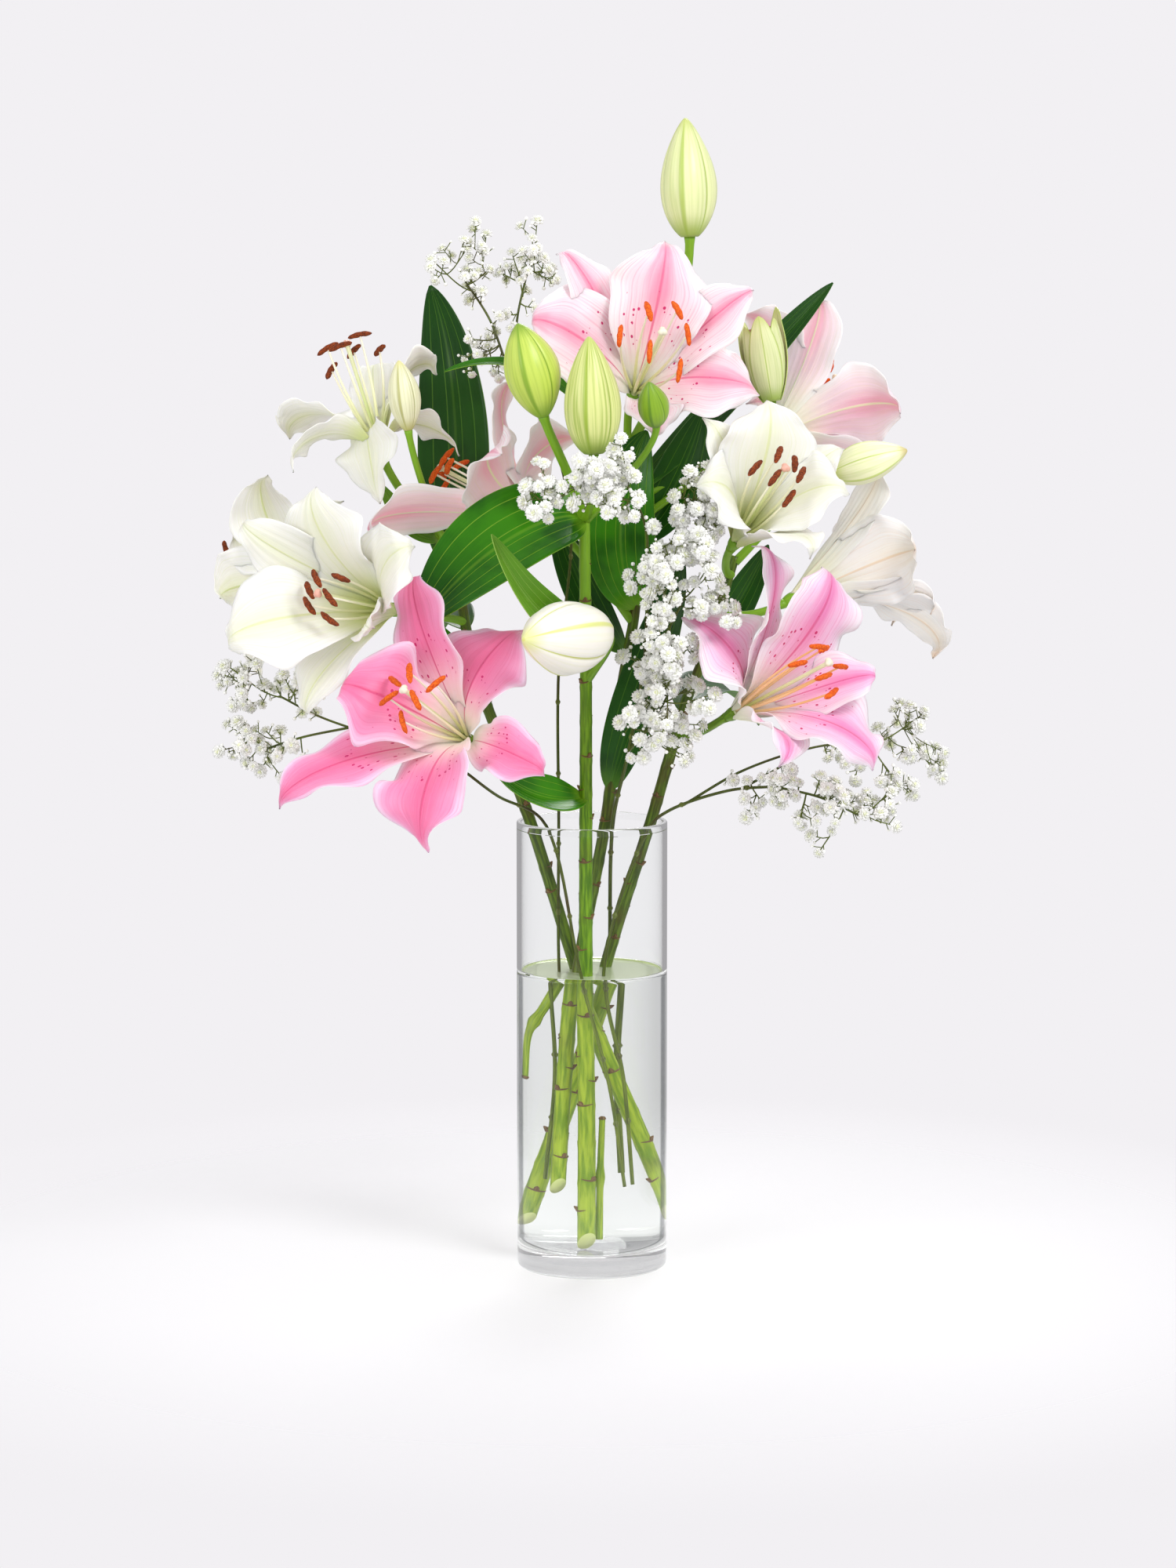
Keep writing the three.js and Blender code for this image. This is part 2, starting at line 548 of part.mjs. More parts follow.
const STEMS = [
  {
    name: 'stem_front', thick: 5.2, thin: 3.6, steps: 6,
    path: [[-3, -18, 14.6], [-3, -19, 110], [-4, -20, 205], [-4, -22, 305], [-4, -27, 405], [-5, -30, 506]],
    pedicels: [
      toBud('bud_fresh', [-5, -30, 500], [-12, -50, 530], 3),
      toBud('bud_small', [-4, -30, 500], [14, -48, 520], 2.2),
      toBud('bud_ribbed', [-5, -30, 502], [0, -60, 506]),
      toBud('bud_cream', [-4, -27, 395], [8, -34, 412]),
    ],
    leaves: [
      { spine: [[-5, -31, 503], [-30, -46, 509], [-78, -62, 482], [-112, -70, 434]], width: 66, face: [-0.4, -1, 0.6] },
      { spine: [[-5, -22, 318], [-22, -42, 316], [-44, -56, 322], [-64, -60, 343]], width: 28, face: [0.1, -0.9, 0.8], fold: 0.5 },
      { spine: [[-4, -28, 428], [-18, -62, 426], [-44, -92, 446], [-64, -98, 496]], width: 26, face: [0.8, -1, 0.3], fold: 0.6 },
    ],
  },
  {
    name: 'stem_left', thick: 4.5, thin: 3.4, steps: 7,
    path: [[41, 8, 28], [15, 8, 114], [-11, 8, 200], [-41.5, 5, 300], [-60, 8, 350], [-78, 15, 400], [-92, 25, 478]],
    pedicels: [
      toBloom('white_left', [-84, 19, 430], [-95, 10, 435]),
      toBloom('white_back', [-88, 22, 450], [-120, 10, 452]),
      toBloom('white_side', [-92, 25, 475], [-112, 24, 495]),
      toBloom('pink_low_left', [-54, 7, 335], [-54, -15, 325]),
      toBud('bud_slim', [-92, 25, 472], [-106, 6, 500], 2.2),
    ],
    leaves: [
      { spine: [[-91, 24, 465], [-92, 80, 500], [-86, 100, 590], [-109, 92, 652]], width: 50, face: [-0.3, -1, 0.2] },
      { spine: [[-70, 12, 380], [-90, 25, 400], [-115, 20, 425], [-126, 5, 440]], width: 26, face: [0, -1, 0.5] },
      { spine: [[-84, 18, 425], [-100, 50, 440], [-110, 90, 430], [-118, 118, 395]], width: 38, face: [-0.3, 0.4, 1] },
      { spine: [[-101, 24, 486], [-112, 8, 488], [-128, -2, 500], [-139, -6, 524]], width: 15, face: [0.1, -1, 0.3] },
    ],
  },
  {
    name: 'stem_right', thick: 4.5, thin: 3.2, steps: 7,
    path: [[-32, 12, 24], [-10, 17, 113], [10, 18, 202], [40, 12, 300], [63, 15, 379], [73, 15, 404], [95, 20, 474]],
    pedicels: [
      toBloom('white_right', [92, 19, 462], [88, 5, 462]),
      toBloom('peach_right', [84, 18, 438], [95, 12, 432]),
      toBloom('pink_low_right', [58, 14, 358], [66, 0, 352]),
      toBud('bud_side', [95, 20, 470], [120, 25, 495]),
    ],
    leaves: [
      { spine: [[70, 15, 400], [85, 35, 420], [105, 45, 450], [118, 45, 480]], width: 24, face: [0, -1, 0.2] },
      { spine: [[60, 14, 370], [70, 50, 390], [95, 95, 385], [115, 125, 350]], width: 38, face: [0.2, -0.3, 1] },
    ],
  },
  {
    name: 'stem_back', thick: 4.5, thin: 3.2, steps: 7,
    path: [[-19, -14, 52], [-15, -10, 126], [-9, -4, 200], [10, 20, 302], [19, 20, 380], [30, 22, 456], [22, 16, 548]],
    pedicels: [
      toBloom('pink_top', [23, 17, 542], [24, 26, 552]),
      toBloom('pink_turned', [27, 22, 430], [4, 12, 462]),
      toBloom('pink_right', [26, 20, 510], [60, 30, 528]),
      toBud('bud_tall', [22, 17, 542], [60, 62, 600], 3),
      toBud('bud_opening', [28, 21, 495], [80, 12, 535], 2.4),
    ],
    leaves: [
      { spine: [[30, 20, 440], [14, -2, 470], [14, -8, 515], [36, -2, 558]], width: 46, face: [0, -1, 0.2] },
      { spine: [[28, 20, 484], [50, 25, 502], [66, 25, 540], [74, 20, 572]], width: 34, face: [0, -1, 0.2] },
      { spine: [[12, 20, 318], [20, 4, 360], [46, 2, 420], [60, 4, 476]], width: 32, face: [0, -1, 0.2] },
      { spine: [[25, 18, 514], [70, 40, 552], [120, 52, 610], [160, 44, 654]], width: 24, face: [-0.5, -1, 0.4] },
      { spine: [[24, 17, 526], [0, 2, 590], [-50, -12, 616], [-96, -30, 597]], width: 12, face: [0.1, -0.8, 1] },
      { spine: [[22, 20, 410], [0, 30, 430], [-16, 34, 470], [-26, 30, 505]], width: 26, face: [0, -1, 0.2] },
      { spine: [[29, 22, 454], [30, 70, 484], [20, 110, 490], [0, 140, 470]], width: 40, face: [0, -0.3, 1] },
    ],
  },
];

// ---- Vase and water -----------------------------------------------------------------------------

function vaseSolid() {
  const inner = VASE_RADIUS - VASE_WALL;
  const lip = VASE_WALL / 2;
  const profile = [
    [0, 0],
    [VASE_RADIUS - VASE_FOOT_ROUND, 0],
    [VASE_RADIUS - VASE_FOOT_ROUND * 0.3, VASE_FOOT_ROUND * 0.3],
    [VASE_RADIUS, VASE_FOOT_ROUND],
    [VASE_RADIUS, VASE_HEIGHT - lip],
    [VASE_RADIUS - lip, VASE_HEIGHT],
    [inner, VASE_HEIGHT - lip],
    [inner, VASE_FLOOR + FLOOR_ROUND],
    [inner - FLOOR_ROUND, VASE_FLOOR],
    [0, VASE_FLOOR],
  ].map(([r, z]) => new THREE.Vector2(r, z));
  return solidOf(new THREE.LatheGeometry(profile, VASE_SIDES).rotateX(Math.PI / 2));
}

// The water fills the vase round the stems, which stand in plain holes in it.
function waterSolid(stems, sprays) {
  const radius = VASE_RADIUS - VASE_WALL - GAP;
  const bottom = VASE_FLOOR + GAP;
  const profile = [
    [0, bottom],
    [radius - FLOOR_ROUND, bottom],
    [radius, bottom + FLOOR_ROUND],
    [radius, WATER_LEVEL],
    [0, WATER_LEVEL],
  ].map(([r, z]) => new THREE.Vector2(r, z));
  let water = solidOf(new THREE.LatheGeometry(profile, VASE_SIDES).rotateX(Math.PI / 2));
  const holes = stems.map((stem) => {
    const straight = stemCurve(stem);
    const swell = 1 / Math.cos(Math.PI / STEM_SIDES);
    return tube(straight, stem.steps, STEM_SIDES, (t) => (mix(stem.thick, stem.thin, t) + GAP * swell));
  });
  for (const spray of sprays) {
    holes.push(tube(stemCurve(spray), spray.steps, 4, () => spray.thick + GAP * Math.SQRT2));
  }
  for (const hole of holes) water = water.subtract(hole);
  return largestBody(water);
}

// ---- Gypsophila ---------------------------------------------------------------------------------

// Points on everything that a twig must keep clear of, with the distance to keep.
function keepOut() {
  const cloud = [];
  const add = (p, reach) => cloud.push({ p, reach });
  const sampleBlade = (pointAt, length, width) => {
    const rows = Math.ceil(length / CLOUD_STEP);
    const columns = Math.ceil(width / CLOUD_STEP);
    for (let i = 0; i <= rows; i++) {
      for (let j = 0; j <= columns; j++) add(pointAt(i / rows, (2 * j) / columns - 1).at, CLOUD_REACH);
    }
  };
  const sampleCurve = (curve, radius) => {
    const count = Math.ceil(curve.getLength() / CLOUD_STEP);
    for (let i = 0; i <= count; i++) add(curve.getPoint(i / count), radius + 1.8);
  };
  for (const bloom of BLOOMS) {
    for (const petal of bloom.petals) {
      const shape = petalShape(bloom, petal);
      sampleBlade((t, s) => petalPoint(shape, t, s), shape.curve.getLength(), petal.width);
    }
    const end = vec(bloom.base).add(vec(bloom.axis));
    sampleCurve(new THREE.LineCurve3(vec(bloom.base), end), 6);
    for (let k = 0; k < 6; k++) add(antherPlace(bloom, k).at, 8);
  }
  for (const bud of BUDS) {
    const radius = bud.width / 2;
    for (let i = 1; i < 8; i++) {
      add(vec(bud.base).lerp(vec(bud.tip), i / 8), radius * Math.sin((Math.PI * i) / 8) ** 0.6 + 1.5);
    }
  }
  for (const stem of STEMS) {
    sampleCurve(stemCurve(stem), stem.thick);
    for (const pedicel of stem.pedicels) sampleCurve(pedicelCurve(pedicel), pedicel.radius ?? PEDICEL_RADIUS);
    for (const leaf of stem.leaves) {
      const shape = leafShape(leaf);
      sampleBlade((t, s) => leafPoint(shape, t, s), shape.curve.getLength(), leaf.width);
    }
  }
  return cloud;
}

const blocked = (cloud, p, need) => cloud.some((item) => item.p.distanceTo(p) < item.reach + need);

// A floret on its twig: a star of five petals with a raised middle.
function floretSolid(root, at, size) {
  const axis = at.clone().sub(root).normalize();
  const side = perpendicular(new THREE.Vector3(0.3, 0.8, 0.52), axis);
  const normal = new THREE.Vector3().crossVectors(axis, side);
  const star = (angle) => (size / 2) * (Math.cos(5 * angle) > 0 ? 1 : 0.62);
  const rim = ring(at, side, normal, 10, star);
  const neck = along(at, axis, -size * 0.36);
  return stalkedSolid(root, neck, side, TWIG_RADIUS * 0.6, TWIG_RADIUS, rim, along(at, axis, size * 0.34));
}

// Whether two florets touch, or either one's twig runs through the other.
function crowds(one, other, size) {
  const passes = (floret, twig) => {
    const nearest = new THREE.Line3(twig.root, twig.at).closestPointToPoint(floret.at, true, new THREE.Vector3());
    return nearest.distanceTo(floret.at) < size * 0.56;
  };
  return one.at.distanceTo(other.at) < size * 1.04 || passes(one, other) || passes(other, one);
}

// Grows a spray: stem and boughs by hand, then in each head florets on twigs that fork off what is there.
function growSpray(spray, cloud) {
  const boughs = [spray.path, ...spray.boughs].map((path) => new THREE.CatmullRomCurve3(path.map(vec)));
  const roots = [];
  boughs.slice(1).forEach((bough) => {
    const count = Math.ceil(bough.getLength() / 9);
    for (let i = 1; i <= count; i++) roots.push({ at: bough.getPoint(i / count), free: 1 });
  });
  const florets = [];
  spray.heads.forEach((head, h) => {
    for (let k = 0; k < head.count; k++) {
      for (let attempt = 0; attempt < 14; attempt++) {
        const key = spray.seed + h * 1000 + k * 17 + attempt * 0.37;
        const azimuth = 2 * Math.PI * draw(key);
        const height = mix(-1, 1, draw(key + 0.11));
        const reach = Math.pow(draw(key + 0.23), 0.45);
        const flat = Math.sqrt(1 - height * height);
        const place = vec([flat * Math.cos(azimuth), flat * Math.sin(azimuth), height]).multiplyScalar(reach);
        const p = vec(head.at).add(place.multiply(vec(head.size)));
        const open = roots.filter((root) => root.free > 0);
        const root = open.reduce((a, b) => (a.at.distanceToSquared(p) < b.at.distanceToSquared(p) ? a : b));
        const near = root.at;
        const length = near.distanceTo(p);
        if (length < 7 || length > 60) continue;
        if (florets.some((other) => crowds(other, { at: p, root: near }, spray.floret))) continue;
        if (blocked(cloud, p, spray.floret / 2 - 1.5)) continue;
        let clear = true;
        for (let d = 4; d < length && clear; d += 4) {
          clear = !blocked(cloud, near.clone().lerp(p, d / length), 0.2);
        }
        if (!clear) continue;
        florets.push({ at: p, root: near });
        root.free -= 1;
        roots.push({ at: near.clone().lerp(p, 0.4), free: 1 }, { at: near.clone().lerp(p, 0.65), free: 1 });
        break;
      }
    }
  });
  return { boughs, florets };
}

function spraySolid(spray, cloud) {
  const { boughs, florets } = growSpray(spray, cloud);
  const pieces = boughs.map((bough, i) => {
    if (i === 0) return tube(stemCurve(spray), spray.steps, 4, () => spray.thick);
    return tube(bough, Math.max(2, Math.round(bough.getLength() / 28)), 4, (t) => mix(spray.thick * 0.8, 0.8, t));
  });
  for (const { at, root } of florets) {
    pieces.push(floretSolid(root, at, spray.floret));
  }
  return largestBody(join(pieces));
}

const SPRAYS = [
  {
    name: 'gypsophila_top_left', thick: 1.1, steps: 12, floret: 9, seed: 101,
    path: [[-24, -2, 60], [-18, 4, 130], [-22, -4, 205], [-22, -6, 300], [-22, -8, 400], [-14, -8, 500], [-34, 4, 575], [-58, 36, 604]],
    boughs: [
      [[-58, 36, 604], [-68, 42, 630], [-84, 42, 655]],
      [[-46, 20, 588], [-50, 36, 625], [-42, 44, 665]],
    ],
    heads: [
      { at: [-88, 42, 662], size: [24, 18, 26], count: 5 },
      { at: [-45, 44, 668], size: [24, 18, 24], count: 5 },
      { at: [-62, 42, 610], size: [20, 16, 26], count: 4 },
    ],
  },
  {
    name: 'gypsophila_left', thick: 1.1, steps: 10, floret: 9, seed: 202,
    path: [[20, -32, 60], [10, -33, 130], [-8, -34, 205], [-32, -22, 302], [-62, -30, 320], [-100, -25, 346], [-147, -22, 360]],
    boughs: [
      [[-147, -22, 360], [-180, -22, 372], [-205, -22, 385]],
      [[-160, -22, 364], [-190, -24, 358], [-215, -24, 350]],
    ],
    heads: [
      { at: [-215, -20, 392], size: [34, 20, 26], count: 7 },
      { at: [-218, -24, 352], size: [32, 18, 22], count: 5 },
    ],
  },
  {
    name: 'gypsophila_middle', thick: 1.4, steps: 10, floret: 14, seed: 303,
    path: [[12, 28, 60], [10, 30, 130], [12, 32, 205], [14, -6, 300], [24, -34, 350], [34, -44, 410], [36, -50, 460]],
    boughs: [
      [[24, -34, 350], [40, -50, 372], [52, -62, 395]],
      [[34, -44, 410], [48, -62, 430], [60, -72, 455]],
      [[36, -50, 460], [34, -60, 500], [20, -66, 530]],
      [[36, -50, 460], [52, -62, 490], [62, -72, 520]],
    ],
    heads: [
      { at: [48, -66, 385], size: [34, 24, 46], count: 9 },
      { at: [52, -74, 450], size: [36, 26, 34], count: 8 },
      { at: [4, -116, 532], size: [46, 12, 24], count: 8 },
      { at: [58, -78, 505], size: [26, 20, 36], count: 6 },
    ],
  },
  {
    name: 'gypsophila_right', thick: 1.2, steps: 10, floret: 9, seed: 404,
    path: [[24, -24, 60], [18, -20, 130], [8, -22, 205], [38, -14, 297], [50, -16, 308], [90, -18, 322], [120, -20, 325]],
    boughs: [
      [[60, -16, 312], [100, -14, 335], [150, -6, 350], [190, 0, 352]],
      [[120, -20, 325], [150, -22, 318], [178, -22, 305]],
      [[100, -18, 324], [125, -14, 338], [140, -10, 350]],
    ],
    heads: [
      { at: [195, 0, 352], size: [42, 26, 34], count: 7 },
      { at: [165, -24, 312], size: [38, 24, 22], count: 5 },
      { at: [120, -30, 325], size: [34, 18, 18], count: 4 },
    ],
  },
];

// ---- The whole arrangement ----------------------------------------------------------------------

const FINISH = {
  glass: new THREE.MeshStandardMaterial({ color: 0xe8f2ee, roughness: 0.02, transparent: true, opacity: 0.3 }),
  water: new THREE.MeshStandardMaterial({ color: 0xeef6f2, roughness: 0.02, transparent: true, opacity: 0.4 }),
  green: new THREE.MeshStandardMaterial({ color: 0x4f8a2c, roughness: 0.5 }),
  white: new THREE.MeshStandardMaterial({ color: 0xf8f6ea, roughness: 0.6 }),
  pink: new THREE.MeshStandardMaterial({ color: 0xf09cc4, roughness: 0.6 }),
  peach: new THREE.MeshStandardMaterial({ color: 0xf8e6d8, roughness: 0.6 }),
  stamens: new THREE.MeshStandardMaterial({ color: 0xb8581e, roughness: 0.7 }),
  pale: new THREE.MeshStandardMaterial({ color: 0xdce6ac, roughness: 0.5 }),
  fresh: new THREE.MeshStandardMaterial({ color: 0xa8cc4c, roughness: 0.5 }),
  cream: new THREE.MeshStandardMaterial({ color: 0xf6f4da, roughness: 0.5 }),
  gypsophila: new THREE.MeshStandardMaterial({ color: 0xf4f6ee, roughness: 0.7 }),
};

const arrangement = new THREE.Group();

function addNode(name, solid, finish) {
  const { vertProperties, triVerts } = solid.getMesh();
  const geometry = new THREE.BufferGeometry();
  geometry.setAttribute('position', new THREE.BufferAttribute(new Float32Array(vertProperties), 3));
  geometry.setIndex(new THREE.BufferAttribute(new Uint32Array(triVerts), 1));
  geometry.computeVertexNormals();
  const mesh = new THREE.Mesh(geometry, finish);
  mesh.name = name;
  arrangement.add(mesh);
}

addNode('vase', vaseSolid(), FINISH.glass);
addNode('water', waterSolid(STEMS, SPRAYS), FINISH.water);
for (const stem of STEMS) addNode(stem.name, leafyStemSolid(stem), FINISH.green);
for (const bloom of BLOOMS) {
  addNode(bloom.name + '_petals', petalsSolid(bloom), FINISH[bloom.kind]);
  addNode(bloom.name + '_stamens', stamensSolid(bloom), FINISH.stamens);
}
for (const bud of BUDS) addNode(bud.name, budSolid(bud), FINISH[bud.kind]);
const cloud = keepOut();
for (const spray of SPRAYS) addNode(spray.name, spraySolid(spray, cloud), FINISH.gypsophila);

export default arrangement;
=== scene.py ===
# %% [markdown]
# # Lilies and gypsophila in a glass cylinder
#
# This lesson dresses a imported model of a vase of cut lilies: white and pink blooms, closed buds, leaves,
# and sprays of gypsophila, standing in water in a clear straight glass.
#
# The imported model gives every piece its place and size. Each cell makes a finer piece along the same
# lines and lets it stand for the coarse one. All tables are in millimetres, and a mesh is scaled to metres
# when it is made. The camera, the floor and the lamps are placed in metres.

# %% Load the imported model
import math

import bpy
import numpy as np
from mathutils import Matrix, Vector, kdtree


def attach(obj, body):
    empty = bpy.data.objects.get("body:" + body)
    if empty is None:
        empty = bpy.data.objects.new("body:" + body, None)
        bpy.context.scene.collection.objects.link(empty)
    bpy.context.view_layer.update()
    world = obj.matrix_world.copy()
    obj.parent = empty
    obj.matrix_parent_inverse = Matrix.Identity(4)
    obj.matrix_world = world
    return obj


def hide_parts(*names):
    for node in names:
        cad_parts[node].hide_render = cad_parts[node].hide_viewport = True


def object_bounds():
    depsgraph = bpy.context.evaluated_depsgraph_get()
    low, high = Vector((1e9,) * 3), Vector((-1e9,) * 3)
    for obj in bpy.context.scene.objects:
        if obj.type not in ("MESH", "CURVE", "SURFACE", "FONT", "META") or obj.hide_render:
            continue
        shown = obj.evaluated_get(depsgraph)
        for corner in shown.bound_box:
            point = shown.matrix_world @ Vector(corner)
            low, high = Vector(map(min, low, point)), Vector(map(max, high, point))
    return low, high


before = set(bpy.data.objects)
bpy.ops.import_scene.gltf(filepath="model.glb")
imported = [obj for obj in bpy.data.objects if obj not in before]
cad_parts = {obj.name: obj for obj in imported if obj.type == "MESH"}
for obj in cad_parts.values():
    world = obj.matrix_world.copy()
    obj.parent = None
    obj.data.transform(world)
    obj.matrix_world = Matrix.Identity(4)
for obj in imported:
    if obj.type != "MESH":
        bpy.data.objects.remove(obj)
cad_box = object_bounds()
MM = 0.001
print("nodes in the frame:", len(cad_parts))

# %% [markdown]
# ## Camera
#
# The picture was taken with a long lens from slightly above, which keeps the cylinder's sides parallel. A
# wide lens would make the near petals too large. The camera tilts down by about seven degrees, enough to
# see the water's surface as a narrow ellipse.

# %% Camera
LENS = 100
SENSOR_HEIGHT = 36
CAMERA_PLACE = (-0.0026, -2.866, 0.670)
TILT_DOWN = 6.88

camera = bpy.data.objects.new("camera", bpy.data.cameras.new("camera"))
camera.data.sensor_fit = "VERTICAL"
camera.data.sensor_height = SENSOR_HEIGHT
camera.data.lens = LENS
camera.location = CAMERA_PLACE
camera.rotation_euler = (math.radians(90 - TILT_DOWN), 0, 0)
bpy.context.collection.objects.link(camera)
bpy.context.scene.camera = camera
print("camera lens:", camera.data.lens, "mm")

# %% [markdown]
# ## A small kit for node trees
#
# A petal's colour is a sum of a few simple patterns: how far a spot is from the midrib, how far it is
# from the throat, and a little noise. Wiring those by hand takes many lines, so a tiny class does it: each
# call adds one node and gives back its output socket. Numbers and sockets can both go in.


# %% Node kit
def tint(red, green, blue):
    """A colour as a screen shows it (0 to 255), turned into the linear values that a shader reads."""
    shares = np.array([red, green, blue]) / 255
    linear = np.where(shares <= 0.04045, shares / 12.92, ((shares + 0.055) / 1.055) ** 2.4)
    return (*(float(v) for v in linear), 1.0)


class Nodes:
    """A node tree that is wired one call at a time."""

    def __init__(self, tree):
        self.tree = tree

    def node(self, kind, inputs=(), **settings):
        made = self.tree.nodes.new(kind)
        for key, value in settings.items():
            setattr(made, key, value)
        for key, value in dict(inputs).items():
            if isinstance(value, bpy.types.NodeSocket):
                self.tree.links.new(value, made.inputs[key])
            else:
                made.inputs[key].default_value = value
        return made

    def math(self, operation, a, b=0.0):
        return self.node("ShaderNodeMath", {0: a, 1: b}, operation=operation).outputs[0]

    def times(self, first, *others):
        for other in others:
            first = self.math("MULTIPLY", first, other)
        return first

    def plus(self, a, b):
        return self.math("ADD", a, b)

    def ramp(self, value, low, high, start=0.0, end=1.0):
        """Runs smoothly from start to end while value goes from low to high."""
        made = self.node("ShaderNodeMapRange", {0: value, 1: low, 2: high, 3: start, 4: end},
                         interpolation_type="SMOOTHSTEP")
        return made.outputs[0]

    def parts(self, vector):
        return self.node("ShaderNodeSeparateXYZ", {0: vector}).outputs


print("a grey of 128 is", round(tint(128, 128, 128)[0], 3), "in linear light")

# %% [markdown]
# ## A kit for materials
#
# Petals, leaves and glass all start from the Principled shader. The same few patterns come back in each:
# streaks along a blade, how far a spot is from the blade's middle, a fine relief. So a second class adds
# these to the first. Roughness, scattering and sheen stay plain numbers on the shader's own sockets.


# %% Material kit
SCATTER_REACH = (1.0, 0.9, 0.8)


class Finish(Nodes):
    """A material whose patterns are added node by node."""

    def __init__(self, name, roughness=0.5, scatter=0.0, scatter_mm=2.0, sheen=0.0):
        self.material = bpy.data.materials.new(name)
        self.material.use_nodes = True
        super().__init__(self.material.node_tree)
        self.shader = self.tree.nodes["Principled BSDF"]
        self.shader.inputs["Roughness"].default_value = roughness
        self.shader.inputs["Subsurface Weight"].default_value = scatter
        self.shader.inputs["Subsurface Scale"].default_value = scatter_mm * MM
        self.shader.inputs["Subsurface Radius"].default_value = SCATTER_REACH
        self.shader.inputs["Sheen Weight"].default_value = sheen

    def uv(self):
        """A blade's own coordinates: both together, then across it and along it."""
        pair = self.node("ShaderNodeUVMap", uv_map="blade").outputs[0]
        across, along, _ = self.parts(pair)
        return pair, across, along

    def place(self):
        return self.node("ShaderNodeTexCoord").outputs["Object"]

    def noise(self, vector, scale, detail=2.0, rough=0.5):
        made = self.node("ShaderNodeTexNoise", {"Vector": vector, "Scale": scale, "Detail": detail,
                                                "Roughness": rough})
        return made.outputs[0]

    def stretched(self, pair, across, along):
        made = self.node("ShaderNodeVectorMath", {0: pair, 1: (across, along, 1)}, operation="MULTIPLY")
        return made.outputs[0]

    def streaks(self, pair, across, along, detail=2.0):
        """Noise drawn out along a blade: the larger a number, the finer the noise that way."""
        return self.noise(self.stretched(pair, across, along), 1.0, detail)

    def off_middle(self, value):
        """How far a value is from one half, either way."""
        return self.math("ABSOLUTE", self.math("SUBTRACT", value, 0.5))

    def mix(self, share, a, b):
        return self.node("ShaderNodeMix", {0: share, 6: a, 7: b}, data_type="RGBA").outputs[2]

    def colour(self, socket):
        self.tree.links.new(socket, self.shader.inputs["Base Color"])

    def bump(self, height, strength, distance_mm):
        made = self.node("ShaderNodeBump", {"Height": height, "Strength": strength,
                                            "Distance": distance_mm * MM})
        self.tree.links.new(made.outputs[0], self.shader.inputs["Normal"])

    def blend(self, share, usual, other):
        """A shader that is the usual one, and the other one by its share."""
        return self.node("ShaderNodeMixShader", {0: share, 1: usual.outputs[0], 2: other.outputs[0]})

    def surface(self, shader):
        self.tree.links.new(shader.outputs[0], self.tree.nodes["Material Output"].inputs["Surface"])


print("material kit ready")

# %% [markdown]
# ## The light of the world
#
# The picture is high-key: a nearly white ground, and soft light from every side. A plain bright world
# would give that, but it would also flatten the petals and fill the glass with a milky mirror. So the world
# looks at the kind of ray that asks for its light. Matt faces get a little less of it, and mirror rays get
# less than half. Rays that have come through glass or water find the left side a little darker, as if a
# grey card stood there, and that draws the clear cylinder.

# %% World
GROUND = tint(242, 240, 243)
FILL_SHARE = 0.78
GLOSS_SHARE = 0.42
CARD_SHARE = 0.8
CARD_FROM = -0.15
CARD_TO = -0.6

scene = bpy.context.scene
scene.view_settings.view_transform = "Standard"
scene.world = bpy.data.worlds.new("studio")
scene.world.use_nodes = True
sky = Nodes(scene.world.node_tree)
rays = sky.node("ShaderNodeLightPath").outputs
matt = sky.ramp(rays["Is Diffuse Ray"], 0, 1, 1.0, FILL_SHARE)
mirrored = sky.ramp(sky.times(rays["Is Glossy Ray"], rays["Is Reflection Ray"]), 0, 1, 1.0, GLOSS_SHARE)
sideways = sky.parts(sky.node("ShaderNodeTexCoord").outputs["Generated"])[0]
card = sky.ramp(sideways, CARD_FROM, CARD_TO, 1.0, CARD_SHARE)
seen_through = sky.node("ShaderNodeMix", {0: rays["Is Transmission Ray"], 2: 1.0, 3: card}).outputs[0]
background = sky.tree.nodes["Background"]
background.inputs["Color"].default_value = GROUND
sky.tree.links.new(sky.times(matt, seen_through, mirrored), background.inputs["Strength"])
print("world nodes:", len(sky.tree.nodes))

# %% [markdown]
# ## The floor
#
# The vase throws only a faint soft shadow on a pale ground. A large plane or a curved studio sweep would
# show its edge from some side. A flat disk is enough, because its chalky finish turns into clear air with
# the distance from the vase.

# %% Floor
FLOOR_RADIUS = 1.4
FLOOR_SIDES = 96
FADE_FROM = 0.15
FADE_TO = 0.62

turns = [2 * math.pi * k / FLOOR_SIDES for k in range(FLOOR_SIDES)]
floor_rim = [(FLOOR_RADIUS * math.cos(a), FLOOR_RADIUS * math.sin(a), 0.0) for a in turns]
floor_mesh = bpy.data.meshes.new("floor")
floor_mesh.from_pydata(floor_rim, [], [tuple(range(FLOOR_SIDES))])
floor = bpy.data.objects.new("floor", floor_mesh)
bpy.context.collection.objects.link(floor)

chalk = Finish("pale_floor", roughness=0.9)
chalk.shader.inputs["Base Color"].default_value = tint(236, 236, 237)
chalk.shader.inputs["Specular IOR Level"].default_value = 0.1
away = chalk.node("ShaderNodeVectorMath", {0: chalk.place()}, operation="LENGTH").outputs["Value"]
clear_air = chalk.node("ShaderNodeBsdfTransparent")
chalk.surface(chalk.blend(chalk.ramp(away, FADE_FROM, FADE_TO), chalk.shader, clear_air))
floor_mesh.materials.append(chalk.material)
print("floor:", FLOOR_RADIUS, "m, clear from", FADE_TO, "m")

# %% [markdown]
# ## Lamps
#
# The photo's light is soft, and a little stronger from the right. Small lamps would throw hard shadows of
# the petals, so four large round softboxes do it: a key at the right, a fill at the left, a weak one in
# front for the shaded throats, and one behind that lights the petals' rims. The front one isn't mirrored,
# because its round image in the glass would look like a lamp in the room.


